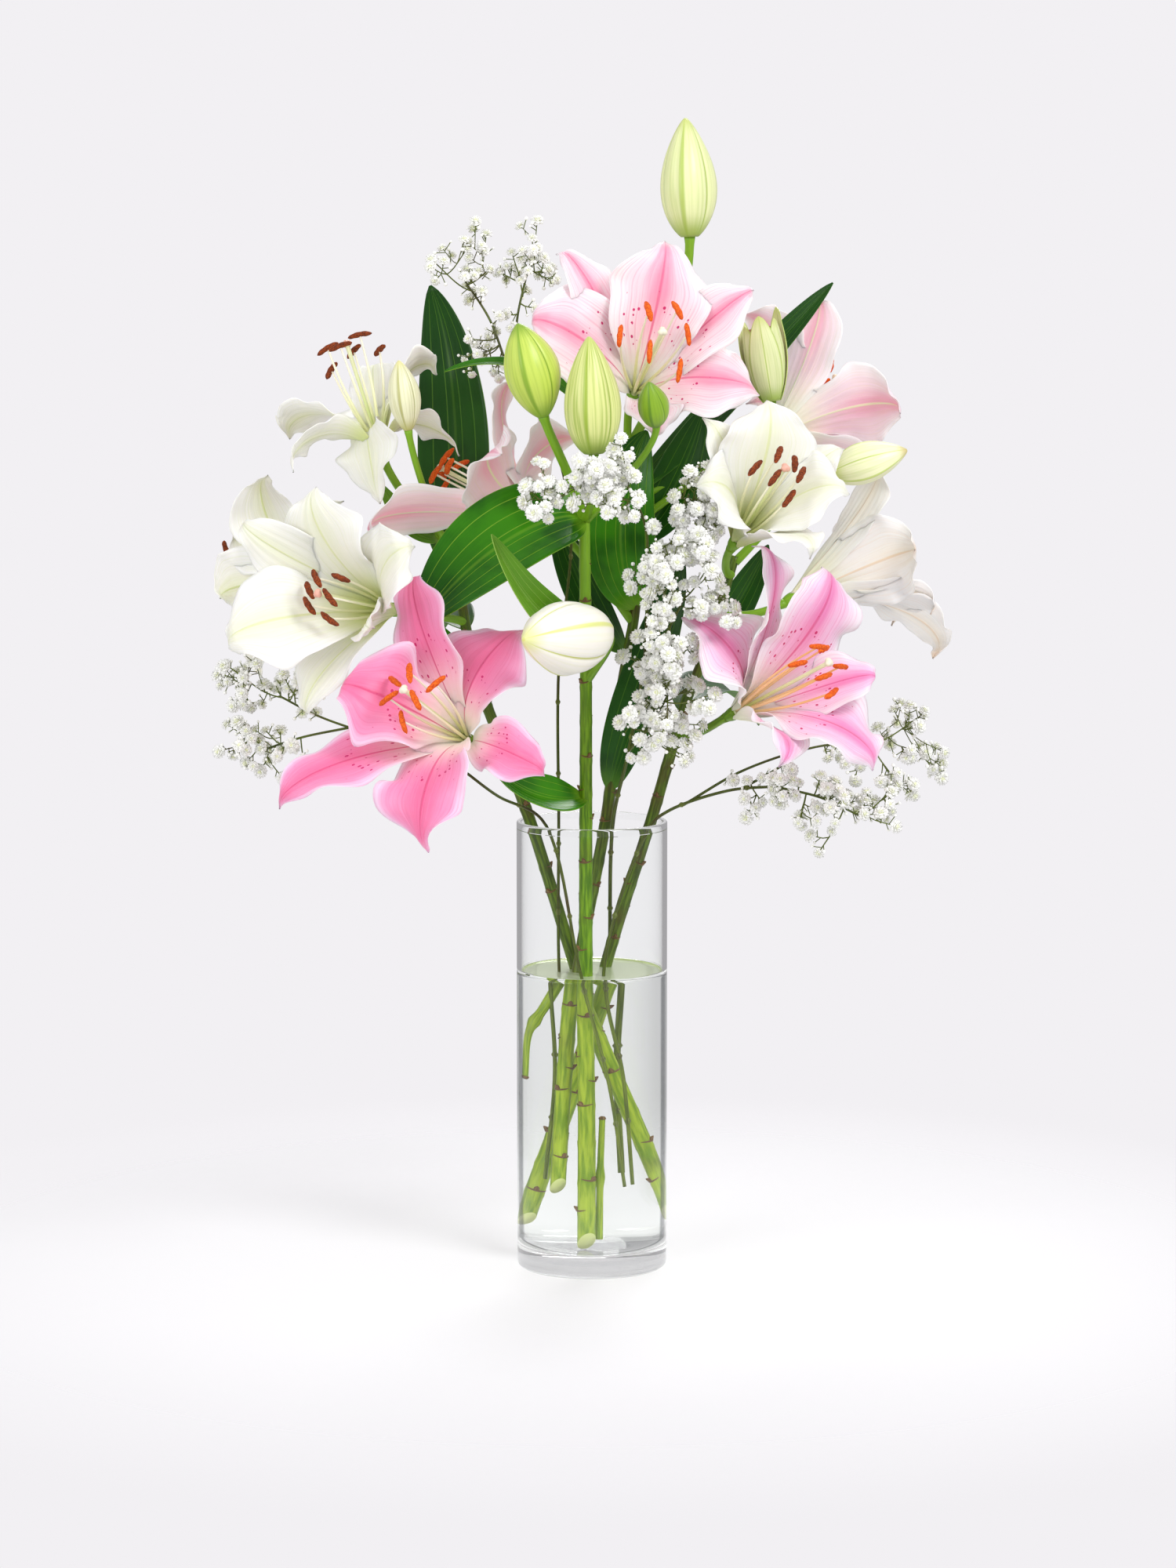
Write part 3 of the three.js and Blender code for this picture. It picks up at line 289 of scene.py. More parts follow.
# %% Softboxes
def softbox(name, place, target, size, watts):
    lamp = bpy.data.objects.new(name, bpy.data.lights.new(name, "AREA"))
    lamp.data.shape = "DISK"
    lamp.data.size = size
    lamp.data.energy = watts
    lamp.location = place
    aim = np.array(target) - np.array(place)
    tilt = math.atan2(math.hypot(aim[0], aim[1]), -aim[2])
    lamp.rotation_euler = (tilt, 0, math.atan2(aim[1], aim[0]) - math.pi / 2)
    bpy.context.collection.objects.link(lamp)
    print(name, watts, "W")
    return lamp


softbox("key", (1.3, -1.3, 1.8), (0, 0, 0.4), 0.9, 24)
softbox("fill", (-1.6, -1.6, 1.2), (0, 0, 0.4), 1.4, 16)
front_lamp = softbox("front", (-0.3, -2.4, 0.5), (0, 0, 0.45), 1.4, 6)
front_lamp.visible_glossy = False
softbox("rim_light", (0.3, 1.6, 1.8), (0, 0, 0.45), 1.0, 16)

# %% [markdown]
# ## Curves
#
# Everything that grows is either a tube along a curve or a thin blade along one. Blender's own curve
# objects could carry the tubes, but not the blades, so Numpy works out all the points at once. A petal or
# a leaf follows a curve with four handles, and a stem goes smoothly through the points of its path.


# %% Vector helpers
def unit(v):
    return v / np.maximum(np.linalg.norm(v, axis=-1, keepdims=True), 1e-12)


def square_to(v, axis):
    """The part of v that stands square to an axis."""
    return unit(v - np.dot(v, axis) * axis)


def mix(a, b, t):
    return a + (b - a) * t


def step(low, high, t):
    """Rises smoothly from 0 at low to 1 at high."""
    x = np.clip((t - low) / (high - low), 0, 1)
    return x * x * (3 - 2 * x)


def draw(key):
    """A seeded draw between 0 and 1: the same number for the same key, every run."""
    wave = math.sin(key * 12.9898 + 78.233) * 43758.5453
    return wave - math.floor(wave)


print("a draw:", round(draw(7), 4))


# %% Curve helpers
def directions(places):
    return unit(np.gradient(places, axis=0))


def distances(places):
    """How far along its line each point is."""
    return np.concatenate([[0], np.cumsum(np.linalg.norm(np.diff(places, axis=0), axis=1))])


def bezier(handles, t):
    """Places and directions along a curve with four handles."""
    a, b, c, d = (np.asarray(p, float) for p in handles)
    t = np.asarray(t, float)[:, None]
    u = 1 - t
    places = u ** 3 * a + 3 * u * u * t * b + 3 * u * t * t * c + t ** 3 * d
    ways = 3 * u * u * (b - a) + 6 * u * t * (c - b) + 3 * t * t * (d - c)
    return places, unit(ways)


def through(path, t):
    """Places along a smooth curve through the points of a path."""
    p = np.array(path, float)
    p = np.vstack([2 * p[0] - p[1], p, 2 * p[-1] - p[-2]])
    count = len(path) - 1
    places = []
    for value in np.asarray(t, float):
        i = min(int(value * count), count - 1)
        w = value * count - i
        q = p[i:i + 4]
        d0, d1, d2 = np.linalg.norm(np.diff(q, axis=0), axis=1) ** 0.5
        m1 = ((q[1] - q[0]) / d0 - (q[2] - q[0]) / (d0 + d1) + (q[2] - q[1]) / d1) * d1
        m2 = ((q[2] - q[1]) / d1 - (q[3] - q[1]) / (d1 + d2) + (q[3] - q[2]) / d2) * d1
        c2 = -3 * q[1] + 3 * q[2] - 2 * m1 - m2
        c3 = 2 * q[1] - 2 * q[2] + m1 + m2
        places.append(q[1] + m1 * w + c2 * w * w + c3 * w ** 3)
    return np.array(places)


def frames(ways):
    """Two directions square to a curve at each of its points, carried along without twist."""
    start = np.array([1.0, 0, 0]) if abs(ways[0][2]) > 0.8 else np.array([0, 0, 1.0])
    sides = [square_to(start, ways[0])]
    for way in ways[1:]:
        sides.append(square_to(sides[-1], way))
    sides = np.array(sides)
    return sides, np.cross(ways, sides)


def circle(count):
    return np.linspace(0, 2 * np.pi, count, endpoint=False)


def spokes(side, normal, angles):
    """The directions at some angles round each point of a curve."""
    return np.cos(angles)[None, :, None] * side[:, None] + np.sin(angles)[None, :, None] * normal[:, None]


bow = through([(0, 0, 0), (0, 5, 5), (0, 10, 0)], np.linspace(0, 1, 50))
print("a bow through three points:", round(distances(bow)[-1], 1), "mm long")

# %% [markdown]
# ## Meshes
#
# One class gathers the sheets, tubes and blades of a piece into one mesh. Each face keeps two numbers, how
# far across and how far along its blade it is, as a UV map, and the materials draw veins and spots with
# them. A blade has a front, a back and a closed rim, because a single sheet would be black or
# see-through from one side.


# %% A mesh that is gathered sheet by sheet
class Growth:
    """Gathers sheets, tubes and blades into one mesh. Each corner has a UV, and each face a finish."""

    def __init__(self):
        self.points, self.faces, self.corners, self.finishes = [], [], [], []
        self.count = 0

    def add(self, points, faces, uvs, finishes):
        self.points.append(np.asarray(points, float))
        self.faces.extend([[v + self.count for v in face] for face in faces])
        self.corners.extend(uvs)
        self.finishes.extend(finishes)
        self.count += len(points)

    def grid(self, sheet, u, v, finish=0, closed=False, flip=False):
        """A sheet of points, n along by m across. closed joins its sides and caps its ends."""
        n, m = sheet.shape[:2]
        ids = np.arange(n * m).reshape(n, m)
        if closed:
            ids = np.hstack([ids, ids[:, :1]])
        faces = np.stack([ids[:-1, :-1], ids[:-1, 1:], ids[1:, 1:], ids[1:, :-1]], -1).reshape(-1, 4)
        uv = np.stack(np.meshgrid(u, v), -1)
        uvs = np.stack([uv[:-1, :-1], uv[:-1, 1:], uv[1:, 1:], uv[1:, :-1]], 2).reshape(-1, 4, 2)
        if flip:
            faces, uvs = faces[:, ::-1], uvs[:, ::-1]
        faces, uvs = faces.tolist(), uvs.tolist()
        if closed:
            faces += [list(range(m))[::-1], [(n - 1) * m + k for k in range(m)]]
            uvs += [[[0.5, end]] * m for end in (v[0], v[-1])]
        self.add(sheet.reshape(-1, 3), faces, uvs, [finish] * len(faces))

    def blade(self, front, back, u, v, finish=0, back_finish=1):
        """A closed thin blade between a front and a back sheet that share their outline's order."""
        n, m = front.shape[:2]
        self.grid(front, u, v, finish)
        first = self.count - n * m
        self.grid(back, u, v, back_finish, flip=True)
        ids = np.arange(n * m).reshape(n, m)
        loop = np.concatenate([ids[0, :-1], ids[:-1, -1], ids[-1, :0:-1], ids[:0:-1, 0]])
        after = np.roll(loop, -1)
        rim = np.stack([loop, loop + n * m, after + n * m, after], -1) + first - self.count
        flat = np.stack(np.meshgrid(u, v), -1).reshape(-1, 2)
        uvs = np.stack([flat[loop], flat[loop], flat[after], flat[after]], 1).tolist()
        self.add(np.zeros((0, 3)), rim.tolist(), uvs, [back_finish] * len(rim))

    def tube(self, places, radii, sides=12, finish=0, ways=None, v=None, shape=None):
        """A closed tube. ways: one direction for all its rings. shape: the radius by the angle."""
        ways = directions(places) if ways is None else np.broadcast_to(ways, places.shape)
        angles = circle(sides)
        radii = np.broadcast_to(np.asarray(radii, float), (len(places),))
        r = radii[:, None] * (np.ones(sides) if shape is None else shape(angles))
        sheet = places[:, None] + r[..., None] * spokes(*frames(ways), angles)
        v = distances(places) if v is None else v
        self.grid(sheet, np.linspace(0, 1, sides + 1), v, finish, closed=True)

    def cloud(self):
        return np.vstack(self.points)

    def finish_as(self, name, materials, node):
        """Makes the object, lets it ride on the part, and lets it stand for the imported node."""
        mesh = bpy.data.meshes.new(name)
        mesh.from_pydata((self.cloud() * MM).tolist(), [], self.faces)
        layer = mesh.uv_layers.new(name="blade")
        flat = np.array([pair for face in self.corners for pair in face], np.float32)
        layer.data.foreach_set("uv", flat.ravel())
        mesh.polygons.foreach_set("material_index", self.finishes)
        mesh.polygons.foreach_set("use_smooth", [True] * len(self.faces))
        for material in materials:
            mesh.materials.append(material)
        mesh.validate()
        piece = bpy.data.objects.new(name, mesh)
        bpy.context.collection.objects.link(piece)
        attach(piece, "root")
        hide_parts(node)
        print(name, len(self.faces), "faces")


print("mesh kit ready")

# %% [markdown]
# ## The glass cylinder
#
# The vase is clear glass: a thin straight wall, a rounded lip and a thick floor whose inner corner is
# softly rounded. It could be a cylinder with a solidify modifier, but the floor is more than four times as
# thick as the wall, so a profile that is turned round the axis says it best.

# %% The vase's profile
VASE_RADIUS = 50
VASE_HEIGHT = 300
VASE_WALL = 3
VASE_FLOOR = 14
WATER_LEVEL = 199
TURNED_SIDES = 128
FOOT_ROUND = 3.2
WELL_ROUND = 7
LIP = VASE_WALL / 2
INNER_RADIUS = VASE_RADIUS - VASE_WALL
CAP_RADIUS = 20
FOOT_TOP = VASE_FLOOR - 1
DRY_FROM = WATER_LEVEL + 2
DRY_TO = VASE_HEIGHT - 5


def turned(growth, profile):
    """A profile of (radius, height) points turned round the Z axis. Its two ends are closed by flat caps."""
    profile = np.array(profile, float)
    angles = circle(TURNED_SIDES)
    radii, heights = profile[:, :1], np.repeat(profile[:, 1:], TURNED_SIDES, 1)
    sheet = np.stack([radii * np.cos(angles), radii * np.sin(angles), heights], -1)
    growth.grid(sheet, np.linspace(0, 1, TURNED_SIDES + 1), np.linspace(0, 1, len(profile)), closed=True)


def arc(centre, radius, start, end, count):
    """Points on an arc in the profile's plane, angles in degrees."""
    angles = np.radians(np.linspace(start, end, count))
    return [(centre[0] + radius * math.cos(a), centre[1] + radius * math.sin(a)) for a in angles]


outer_rings = [FOOT_TOP, 20] + list(np.linspace(34, DRY_FROM, 8)) + list(np.linspace(220, DRY_TO, 5))
inner_rings = outer_rings[:1:-1]
vase_profile = (
    [(CAP_RADIUS, 0), (2 * CAP_RADIUS, 0)]
    + arc((VASE_RADIUS - FOOT_ROUND, FOOT_ROUND), FOOT_ROUND, -90, 0, 8)
    + [(VASE_RADIUS, z) for z in outer_rings]
    + arc((VASE_RADIUS - LIP, VASE_HEIGHT - LIP), LIP, 0, 180, 12)
    + [(INNER_RADIUS, z) for z in inner_rings]
    + arc((INNER_RADIUS - WELL_ROUND, VASE_FLOOR + WELL_ROUND), WELL_ROUND, 0, -90, 10)
    + [(CAP_RADIUS, VASE_FLOOR - 0.4)]
)
print("points in the vase's profile:", len(vase_profile))

# %% [markdown]
# ## Three kinds of clear glass
#
# The Principled shader's transmission bends the view as real glass does. Two kinds of ray go straight
# through instead. Light for shadows and matt faces does, because traced caustics would only add noise. Mirror
# rays do too, because mirrors inside mirrors would lay a haze over the stems.
#
# The real foot is greyer than the wall, as light goes a long way through it. And the wall above the water
# has two faces of air and glass close together, which almost undo each other's bending. A lower index there
# keeps the stems behind it straight and clear. So the vase's faces carry three glasses.

# %% Glass
GLASS_INDEX = 1.48
DRY_INDEX = 1.24
CLEAR_TINT = (0.985, 0.995, 0.99, 1)
FOOT_TINT = (0.84, 0.86, 0.85, 1)
BAND_START = (0.238, 0.258)
BAND_END = (0.278, 0.298)


def see_through(name, index, shade, edge=None):
    """Clear glass or water. edge: the colour of a band of painted shade near its outline, where given."""
    made = Finish(name, roughness=0.0)
    made.shader.inputs["Base Color"].default_value = shade
    if edge:
        # painted shade: a darker band in the colour near the outline stands in for the dark edge that the
        # bent view shows
        facing = made.node("ShaderNodeLayerWeight").outputs["Facing"]
        painted_shade_band = made.times(made.ramp(facing, *BAND_START), made.ramp(facing, *BAND_END, 1.0, 0.0))
        made.colour(made.mix(painted_shade_band, shade, edge))
    made.shader.inputs["Transmission Weight"].default_value = 1.0
    made.shader.inputs["IOR"].default_value = index
    rays = made.node("ShaderNodeLightPath").outputs
    straight = made.math("MAXIMUM", rays["Is Shadow Ray"], rays["Is Diffuse Ray"])
    straight = made.math("MAXIMUM", straight, made.times(rays["Is Glossy Ray"], rays["Is Reflection Ray"]))
    made.surface(made.blend(straight, made.shader, made.node("ShaderNodeBsdfTransparent")))
    return made.material


clear_glass = see_through("clear_glass", GLASS_INDEX, CLEAR_TINT)
foot_glass = see_through("foot_glass", GLASS_INDEX, FOOT_TINT)
dry_wall = see_through("dry_wall_glass", DRY_INDEX, CLEAR_TINT)
print("glasses:", clear_glass.name, foot_glass.name, dry_wall.name)

# %% Vase
WET_WALL, FOOT, DRY_WALL = 0, 1, 2
vase = Growth()
turned(vase, vase_profile)
vase_heights = vase.cloud()[:, 2]


def glass_of(face):
    """Which glass a face of the vase has, by the heights of its corners."""
    low, high = min(vase_heights[v] for v in face), max(vase_heights[v] for v in face)
    if high < FOOT_TOP + 0.1:
        return FOOT
    return DRY_WALL if low > DRY_FROM - 0.1 and high < DRY_TO + 0.1 else WET_WALL


vase.finishes = [glass_of(face) for face in vase.faces]
print("faces per glass:", [vase.finishes.count(k) for k in (WET_WALL, FOOT, DRY_WALL)])
vase.finish_as("glass_cylinder", [clear_glass, foot_glass, dry_wall], "vase")

# %% [markdown]
# ## The water's shape
#
# The water touches the glass everywhere, so its side lies a hair inside the wall: a gap of air there would
# show as a bright mirror. At the wall it climbs a little, which draws the fine pale line round the
# surface, together with a greener rim painted on the surface's finish. The stems simply stand in it.

# %% The water's profile
MENISCUS = 1.6
MENISCUS_FADE = 1.4
OVERLAP = 0.15
WATER_RADIUS = INNER_RADIUS + OVERLAP
climb = [
    (INNER_RADIUS - d, WATER_LEVEL + MENISCUS * math.exp(-d / MENISCUS_FADE))
    for d in (0.5, 1.1, 1.9, 3, 4.5, 7)
]
water_profile = (
    [(CAP_RADIUS, VASE_FLOOR - 0.55)]
    + arc((WATER_RADIUS - WELL_ROUND, VASE_FLOOR + WELL_ROUND - OVERLAP), WELL_ROUND, -90, 0, 10)
    + [(WATER_RADIUS, z) for z in np.linspace(40, WATER_LEVEL - 2, 8)]
    + [(WATER_RADIUS, WATER_LEVEL + MENISCUS)]
    + climb
    + [(CAP_RADIUS, WATER_LEVEL)]
)
print("the water climbs", MENISCUS, "mm at the glass")

# %% [markdown]
# ## The water's finishes
#
# Seen from the front, the water is clear, with a dark line inside each outline of the cylinder, which is
# painted shade. Its surface is a narrow, milky, pale green ellipse with a greener rim. Real refraction there
# would mirror the stems and hide that, so the surface is a film instead: mostly a painted reflection, a matt
# pale green lit by the lamps that stands in for the bright room the real surface mirrors, with a painted
# greener rim, a little see-through, and a soft mirror where the view grazes it.

# %% Water
WATER_INDEX = 1.333
WATER_TINT = (0.985, 0.998, 0.985, 1)
# painted shade: the colour of the dark band painted inside each outline of the water
PAINTED_EDGE_SHADE = (0.14, 0.15, 0.155, 1)
FILM_TINT = (0.86, 0.93, 0.70, 1)
MIRROR_TINT = (0.93, 0.97, 0.90, 1)
# painted reflection: a matt pale green stands in for the bright room that the real surface mirrors, and the
# greener rim near the glass is painted too
PAINTED_REFLECTION_TINT = tint(228, 238, 206)
PAINTED_RIM_TINT = tint(176, 200, 90)
RIM_FROM = INNER_RADIUS - 3
RIM_TO = INNER_RADIUS - 0.6
PAINTED_REFLECTION_SHARE = 0.66


def surface_finish():
    """The water's top: a pale green film that doesn't bend the view, mostly painted reflection with a painted
    rim.
    """
    made = Finish("water_surface", roughness=0.02)
    x, y, _ = made.parts(made.place())
    out = made.math("SQRT", made.plus(made.times(x, x), made.times(y, y)))
    rim = made.ramp(out, RIM_FROM * MM, RIM_TO * MM)
    painted_reflection = made.node("ShaderNodeBsdfDiffuse", {"Color": made.mix(rim, PAINTED_REFLECTION_TINT, PAINTED_RIM_TINT)})
    film = made.node("ShaderNodeBsdfTransparent", {"Color": FILM_TINT})
    mirror = made.node("ShaderNodeBsdfGlossy", {"Color": MIRROR_TINT, "Roughness": 0.03})
    grazing = made.node("ShaderNodeFresnel", {"IOR": 1.4}).outputs[0]
    made.surface(made.blend(grazing, made.blend(PAINTED_REFLECTION_SHARE, film, painted_reflection), mirror))
    return made.material


clear_water = see_through("clear_water", WATER_INDEX, WATER_TINT, PAINTED_EDGE_SHADE)
water = Growth()
turned(water, water_profile)
water_heights = water.cloud()[:, 2]
water.finishes = [int(min(water_heights[v] for v in face) > WATER_LEVEL - 1) for face in water.faces]
water.finish_as("clear_water", [clear_water, surface_finish()], "water")

# %% [markdown]
# ## Petal finishes
#
# A lily petal is paler at its wavy rim and at the throat, with a darker line down the middle, faint
# lengthwise veins, and in the pink kind crimson spots near the throat. A painted image could show that, but
# the petal's own UV, across and along, lets a few smooth ramps place each of these exactly. Light
# passes through a petal and is scattered inside it, so its shader scatters too.


# %% The spots and the finish of a petal
SPOT_TINT = tint(204, 36, 112)
VEIN_SHARE = 0.45


def spot_share(made, pair, v, across):
    """1 where a crimson spot is: dots of several sizes in a patch beyond the throat."""
    cells = made.node("ShaderNodeTexVoronoi", {
        "Vector": made.stretched(pair, 19, 34), "Scale": 1.0, "Randomness": 1.0}).outputs
    size = made.node("ShaderNodeSeparateColor", {0: cells["Color"]}).outputs[0]
    dot = made.math("LESS_THAN", cells["Distance"], made.ramp(size, 0.25, 1.0, 0.0, 0.3))
    patch = made.times(made.ramp(v, 0.2, 0.3), made.ramp(v, 0.5, 0.66, 1.0, 0.0),
                       made.ramp(across, 0.5, 0.8, 1.0, 0.0))
    return made.times(dot, made.math("GREATER_THAN", patch, 0.3))


def petal_finish(name, heart, blush, rim, throat, rib, tip=None, spotted=False, edge=0.55, reach=0.42):
    """heart: beside the midrib. blush: at edge. throat: up to reach. The rest are what they are called."""
    made = Finish(name, roughness=0.42, scatter=0.6, scatter_mm=2.2, sheen=0.12)
    heart, blush, rim, throat, rib = (tint(*shade) for shade in (heart, blush, rim, throat, rib))
    tip = tint(*tip) if tip else rim
    pair, u, v = made.uv()
    wobble = made.math("SUBTRACT", made.streaks(pair, 6, 3), 0.5)
    across = made.plus(made.times(made.off_middle(u), 2.0), made.times(wobble, 0.3))
    body = made.mix(made.ramp(v, 0.25, 0.62), blush, heart)
    body = made.mix(made.ramp(across, 0.05, edge), body, blush)
    body = made.mix(made.ramp(across, edge, 1.0), body, rim)
    body = made.mix(made.ramp(v, 0.86, 1.0, 0, 0.55), body, tip)
    veins = made.streaks(pair, 46, 1.6, detail=3)
    vein_shade = tuple((a + b) / 2 for a, b in zip(heart, rib))
    body = made.mix(made.times(made.ramp(veins, 0.45, 0.7), VEIN_SHARE), body, vein_shade)
    body = made.mix(made.ramp(v, 0.1, reach, 1.0, 0.0), body, throat)
    midrib = made.ramp(made.off_middle(u), 0.004, 0.022, 1.0, 0.0)
    line = made.times(midrib, made.ramp(v, 0.75, 0.97, 0.85, 0.0))
    body = made.mix(line, body, rib)
    if spotted:
        body = made.mix(spot_share(made, pair, v, across), body, SPOT_TINT)
    made.colour(body)
    made.bump(made.plus(made.times(veins, 0.8), made.times(line, -0.9)), 0.6, 0.5)
    return made.material


print("petal finish ready")

# %% [markdown]
# ## The kinds of petal
#
# The low pink lilies are the strongest pink, one of them leaning to lilac, and the high ones are a pale
# blush. The white ones are a warm white with a green throat, and the peach one has brown tips. Each kind
# has its own front and back: on the back the throat is greener and the midrib is pale.

# %% Petal materials
PETAL_LOOKS = {
    "pink_petal": dict(
        heart=(238, 118, 164), blush=(243, 148, 188), rim=(253, 204, 232), throat=(250, 238, 226),
        rib=(220, 82, 134), spotted=True, edge=0.7, reach=0.5),
    "pink_petal_back": dict(
        heart=(240, 160, 186), blush=(246, 190, 206), rim=(252, 222, 232), throat=(236, 238, 204),
        rib=(222, 224, 172)),
    "lilac_petal": dict(
        heart=(238, 142, 192), blush=(250, 198, 226), rim=(254, 238, 248), throat=(253, 247, 238),
        rib=(222, 98, 152), spotted=True, edge=0.45),
    "blush_petal": dict(
        heart=(242, 158, 184), blush=(250, 213, 223), rim=(254, 242, 246), throat=(253, 249, 240),
        rib=(228, 112, 152), spotted=True, edge=0.45),
    "blush_petal_back": dict(
        heart=(242, 180, 200), blush=(250, 218, 228), rim=(254, 240, 245), throat=(240, 238, 210),
        rib=(236, 234, 196)),
    "salmon_petal_back": dict(
        heart=(255, 176, 194), blush=(255, 212, 220), rim=(255, 242, 242), throat=(244, 240, 210),
        rib=(240, 234, 190), reach=0.22),
    "white_petal": dict(
        heart=(230, 232, 210), blush=(238, 237, 226), rim=(244, 243, 237), throat=(214, 222, 152),
        rib=(220, 226, 176)),
    "white_petal_back": dict(
        heart=(234, 236, 212), blush=(243, 242, 232), rim=(248, 246, 240), throat=(208, 220, 146),
        rib=(206, 216, 150)),
    "peach_petal": dict(
        heart=(255, 242, 228), blush=(255, 249, 242), rim=(255, 252, 248), throat=(246, 242, 208),
        rib=(240, 206, 184), tip=(214, 164, 120)),
    "peach_petal_back": dict(
        heart=(255, 242, 230), blush=(255, 249, 243), rim=(255, 252, 248), throat=(242, 240, 204),
        rib=(240, 214, 190), tip=(206, 152, 108)),
}
petal_materials = {name: petal_finish(name, **look) for name, look in PETAL_LOOKS.items()}
print("petal finishes:", len(petal_materials))

# %% [markdown]
# ## The green of stems
#
# Stems are bright green with lengthwise streaks and turn brownish towards old leaf scars. In the water they
# look paler and yellower, and so do the young tops near the blooms, so height above the table decides
# between the greens. The same finish, with other tints, serves leaf scars, fresh cuts and twigs.


# %% Stem materials
YOUNG_FROM = 0.34
YOUNG_TO = 0.46
UNDER_WATER_BELOW = 0.185
DRY_ABOVE = 0.205


def stem_finish(name, light, dark, brown, share, under_water=None, young=None):
    """share: of the brown. under_water: the two greens below the water line. young: the paler green high up.
    """
    made = Finish(name, roughness=0.34, scatter=0.05, scatter_mm=1.0)
    made.shader.inputs["Specular IOR Level"].default_value = 0.4
    pair, _, _ = made.uv()
    streak = made.streaks(pair, 14, 0.05, detail=3)
    body = made.mix(made.ramp(streak, 0.35, 0.68), tint(*dark), tint(*light))
    cloudy = made.noise(made.place(), 38.0, detail=4)
    body = made.mix(made.times(made.ramp(cloudy, 0.48, 0.72), share), body, tint(*brown))
    height = made.parts(made.place())[2]
    if young:
        body = made.mix(made.ramp(height, YOUNG_FROM, YOUNG_TO, 0.0, 0.7), body, tint(*young))
    # paler, yellower greens below the water line, as the stems look through the water and the glass
    if under_water:
        under_water_body = made.mix(made.ramp(streak, 0.3, 0.7), *(tint(*shade) for shade in under_water))
        under_water_body = made.mix(made.times(made.ramp(cloudy, 0.5, 0.75), 0.3), under_water_body, tint(*brown))
        body = made.mix(made.ramp(height, UNDER_WATER_BELOW, DRY_ABOVE, 1.0, 0.0), body, under_water_body)
    made.colour(body)
    made.bump(streak, 0.3, 0.4)
    return made.material


UNDER_WATER_GREENS = ((112, 148, 4), (170, 194, 44))
YOUNG = (138, 190, 46)
stem_green = stem_finish("stem_green", (122, 166, 26), (74, 116, 10), (96, 96, 26), 0.35, UNDER_WATER_GREENS, YOUNG)
stem_old = stem_finish("stem_brownish", (104, 132, 34), (64, 86, 20), (84, 62, 32), 0.7, UNDER_WATER_GREENS)
scar_brown = stem_finish("leaf_scar", (140, 112, 62), (92, 66, 34), (70, 46, 26), 0.8)
cut_pale = stem_finish("fresh_cut", (226, 234, 166), (206, 220, 132), (180, 190, 110), 0.3)
print("stem finishes:", stem_green.name, stem_old.name, scar_brown.name, cut_pale.name)

# %% [markdown]
# ## The green of leaves
#
# Leaves are dark and waxy, with pale veins that run side by side from base to tip. Because a leaf's UV
# narrows with the leaf, straight lines in it come together at both ends, as real lily veins do. The large
# leaves in front catch the light and are fresher, and the underside of each is pale and matt. The cloudy
# patches of fresher green are the leaf's own, but they are painted strongest near the base and fade towards
# the tip: that fall-off is painted light.


# %% Leaf materials
def leaf_finish(name, deep, fresh, vein, count, roughness):
    """count: how many pale veins lie side by side."""
    made = Finish(name, roughness=roughness, scatter=0.08, scatter_mm=1.0)
    made.shader.inputs["Specular IOR Level"].default_value = 0.32
    deep, fresh, vein = tint(*deep), tint(*fresh), tint(*vein)
    pair, u, v = made.uv()
    cloudy = made.noise(made.place(), 24.0, detail=3)
    # painted light: the fresher green is strongest near the base and fades towards the tip
    painted_light_share = made.times(made.ramp(cloudy, 0.3, 0.62), made.ramp(v, 0.25, 0.95, 1.0, 0.3))
    body = made.mix(painted_light_share, deep, fresh)
    lane = made.math("FRACT", made.plus(made.times(u, count), 0.5))
    line = made.ramp(made.off_middle(lane), 0.015, 0.055, 1.0, 0.0)
    body = made.mix(made.times(line, 0.55), body, vein)
    midrib = made.ramp(made.off_middle(u), 0.008, 0.028, 1.0, 0.0)
    body = made.mix(made.times(midrib, 0.25), body, vein)
    body = made.mix(made.ramp(v, 0.0, 0.16, 0.7, 0.0), body, vein)
    fine = made.streaks(pair, 90, 4)
    body = made.mix(made.times(made.ramp(fine, 0.4, 0.75), 0.25), body, fresh)
    made.colour(body)
    made.bump(made.plus(made.times(line, -1.0), made.times(fine, 0.35)), 0.5, 0.4)
    return made.material


leaf_dark = leaf_finish("leaf_dark", (16, 62, 8), (32, 88, 12), (96, 146, 40), 5, 0.3)
leaf_glossy = leaf_finish("leaf_glossy", (20, 82, 2), (62, 142, 6), (146, 190, 54), 7, 0.24)
leaf_light = leaf_finish("leaf_light", (78, 132, 24), (116, 168, 44), (176, 206, 104), 7, 0.36)
leaf_under = leaf_finish("leaf_underside", (74, 116, 40), (100, 142, 58), (150, 184, 100), 9, 0.5)
print("leaf finishes:", leaf_dark.name, leaf_glossy.name, leaf_light.name, leaf_under.name)

# %% [markdown]
# ## The lilies: ten blooms
#
# A bloom has three broad, ruffled inner petals and three narrow outer ones. They could be copies of one
# petal, but in the bouquet each bends its own way, so each has its own tip. The table gives, for each
# bloom, where its petals start (base), the way to the end of its stigma (axis), and where each petal's tip
# is, measured from the base. Throat is how far up the petals stand together, curl how far their tips roll
# back in degrees, ring how wide the anthers stand, turn how far their circle is turned, and lie which way
# they hang.


# %% The table of blooms
def broad(tip, width, **bends):
    """One of the three inner petals."""
    return dict(tip=tip, width=width, inner=True, **bends)


def narrow(tip, width, **bends):
    """One of the three outer petals."""
    return dict(tip=tip, width=width, inner=False, **bends)


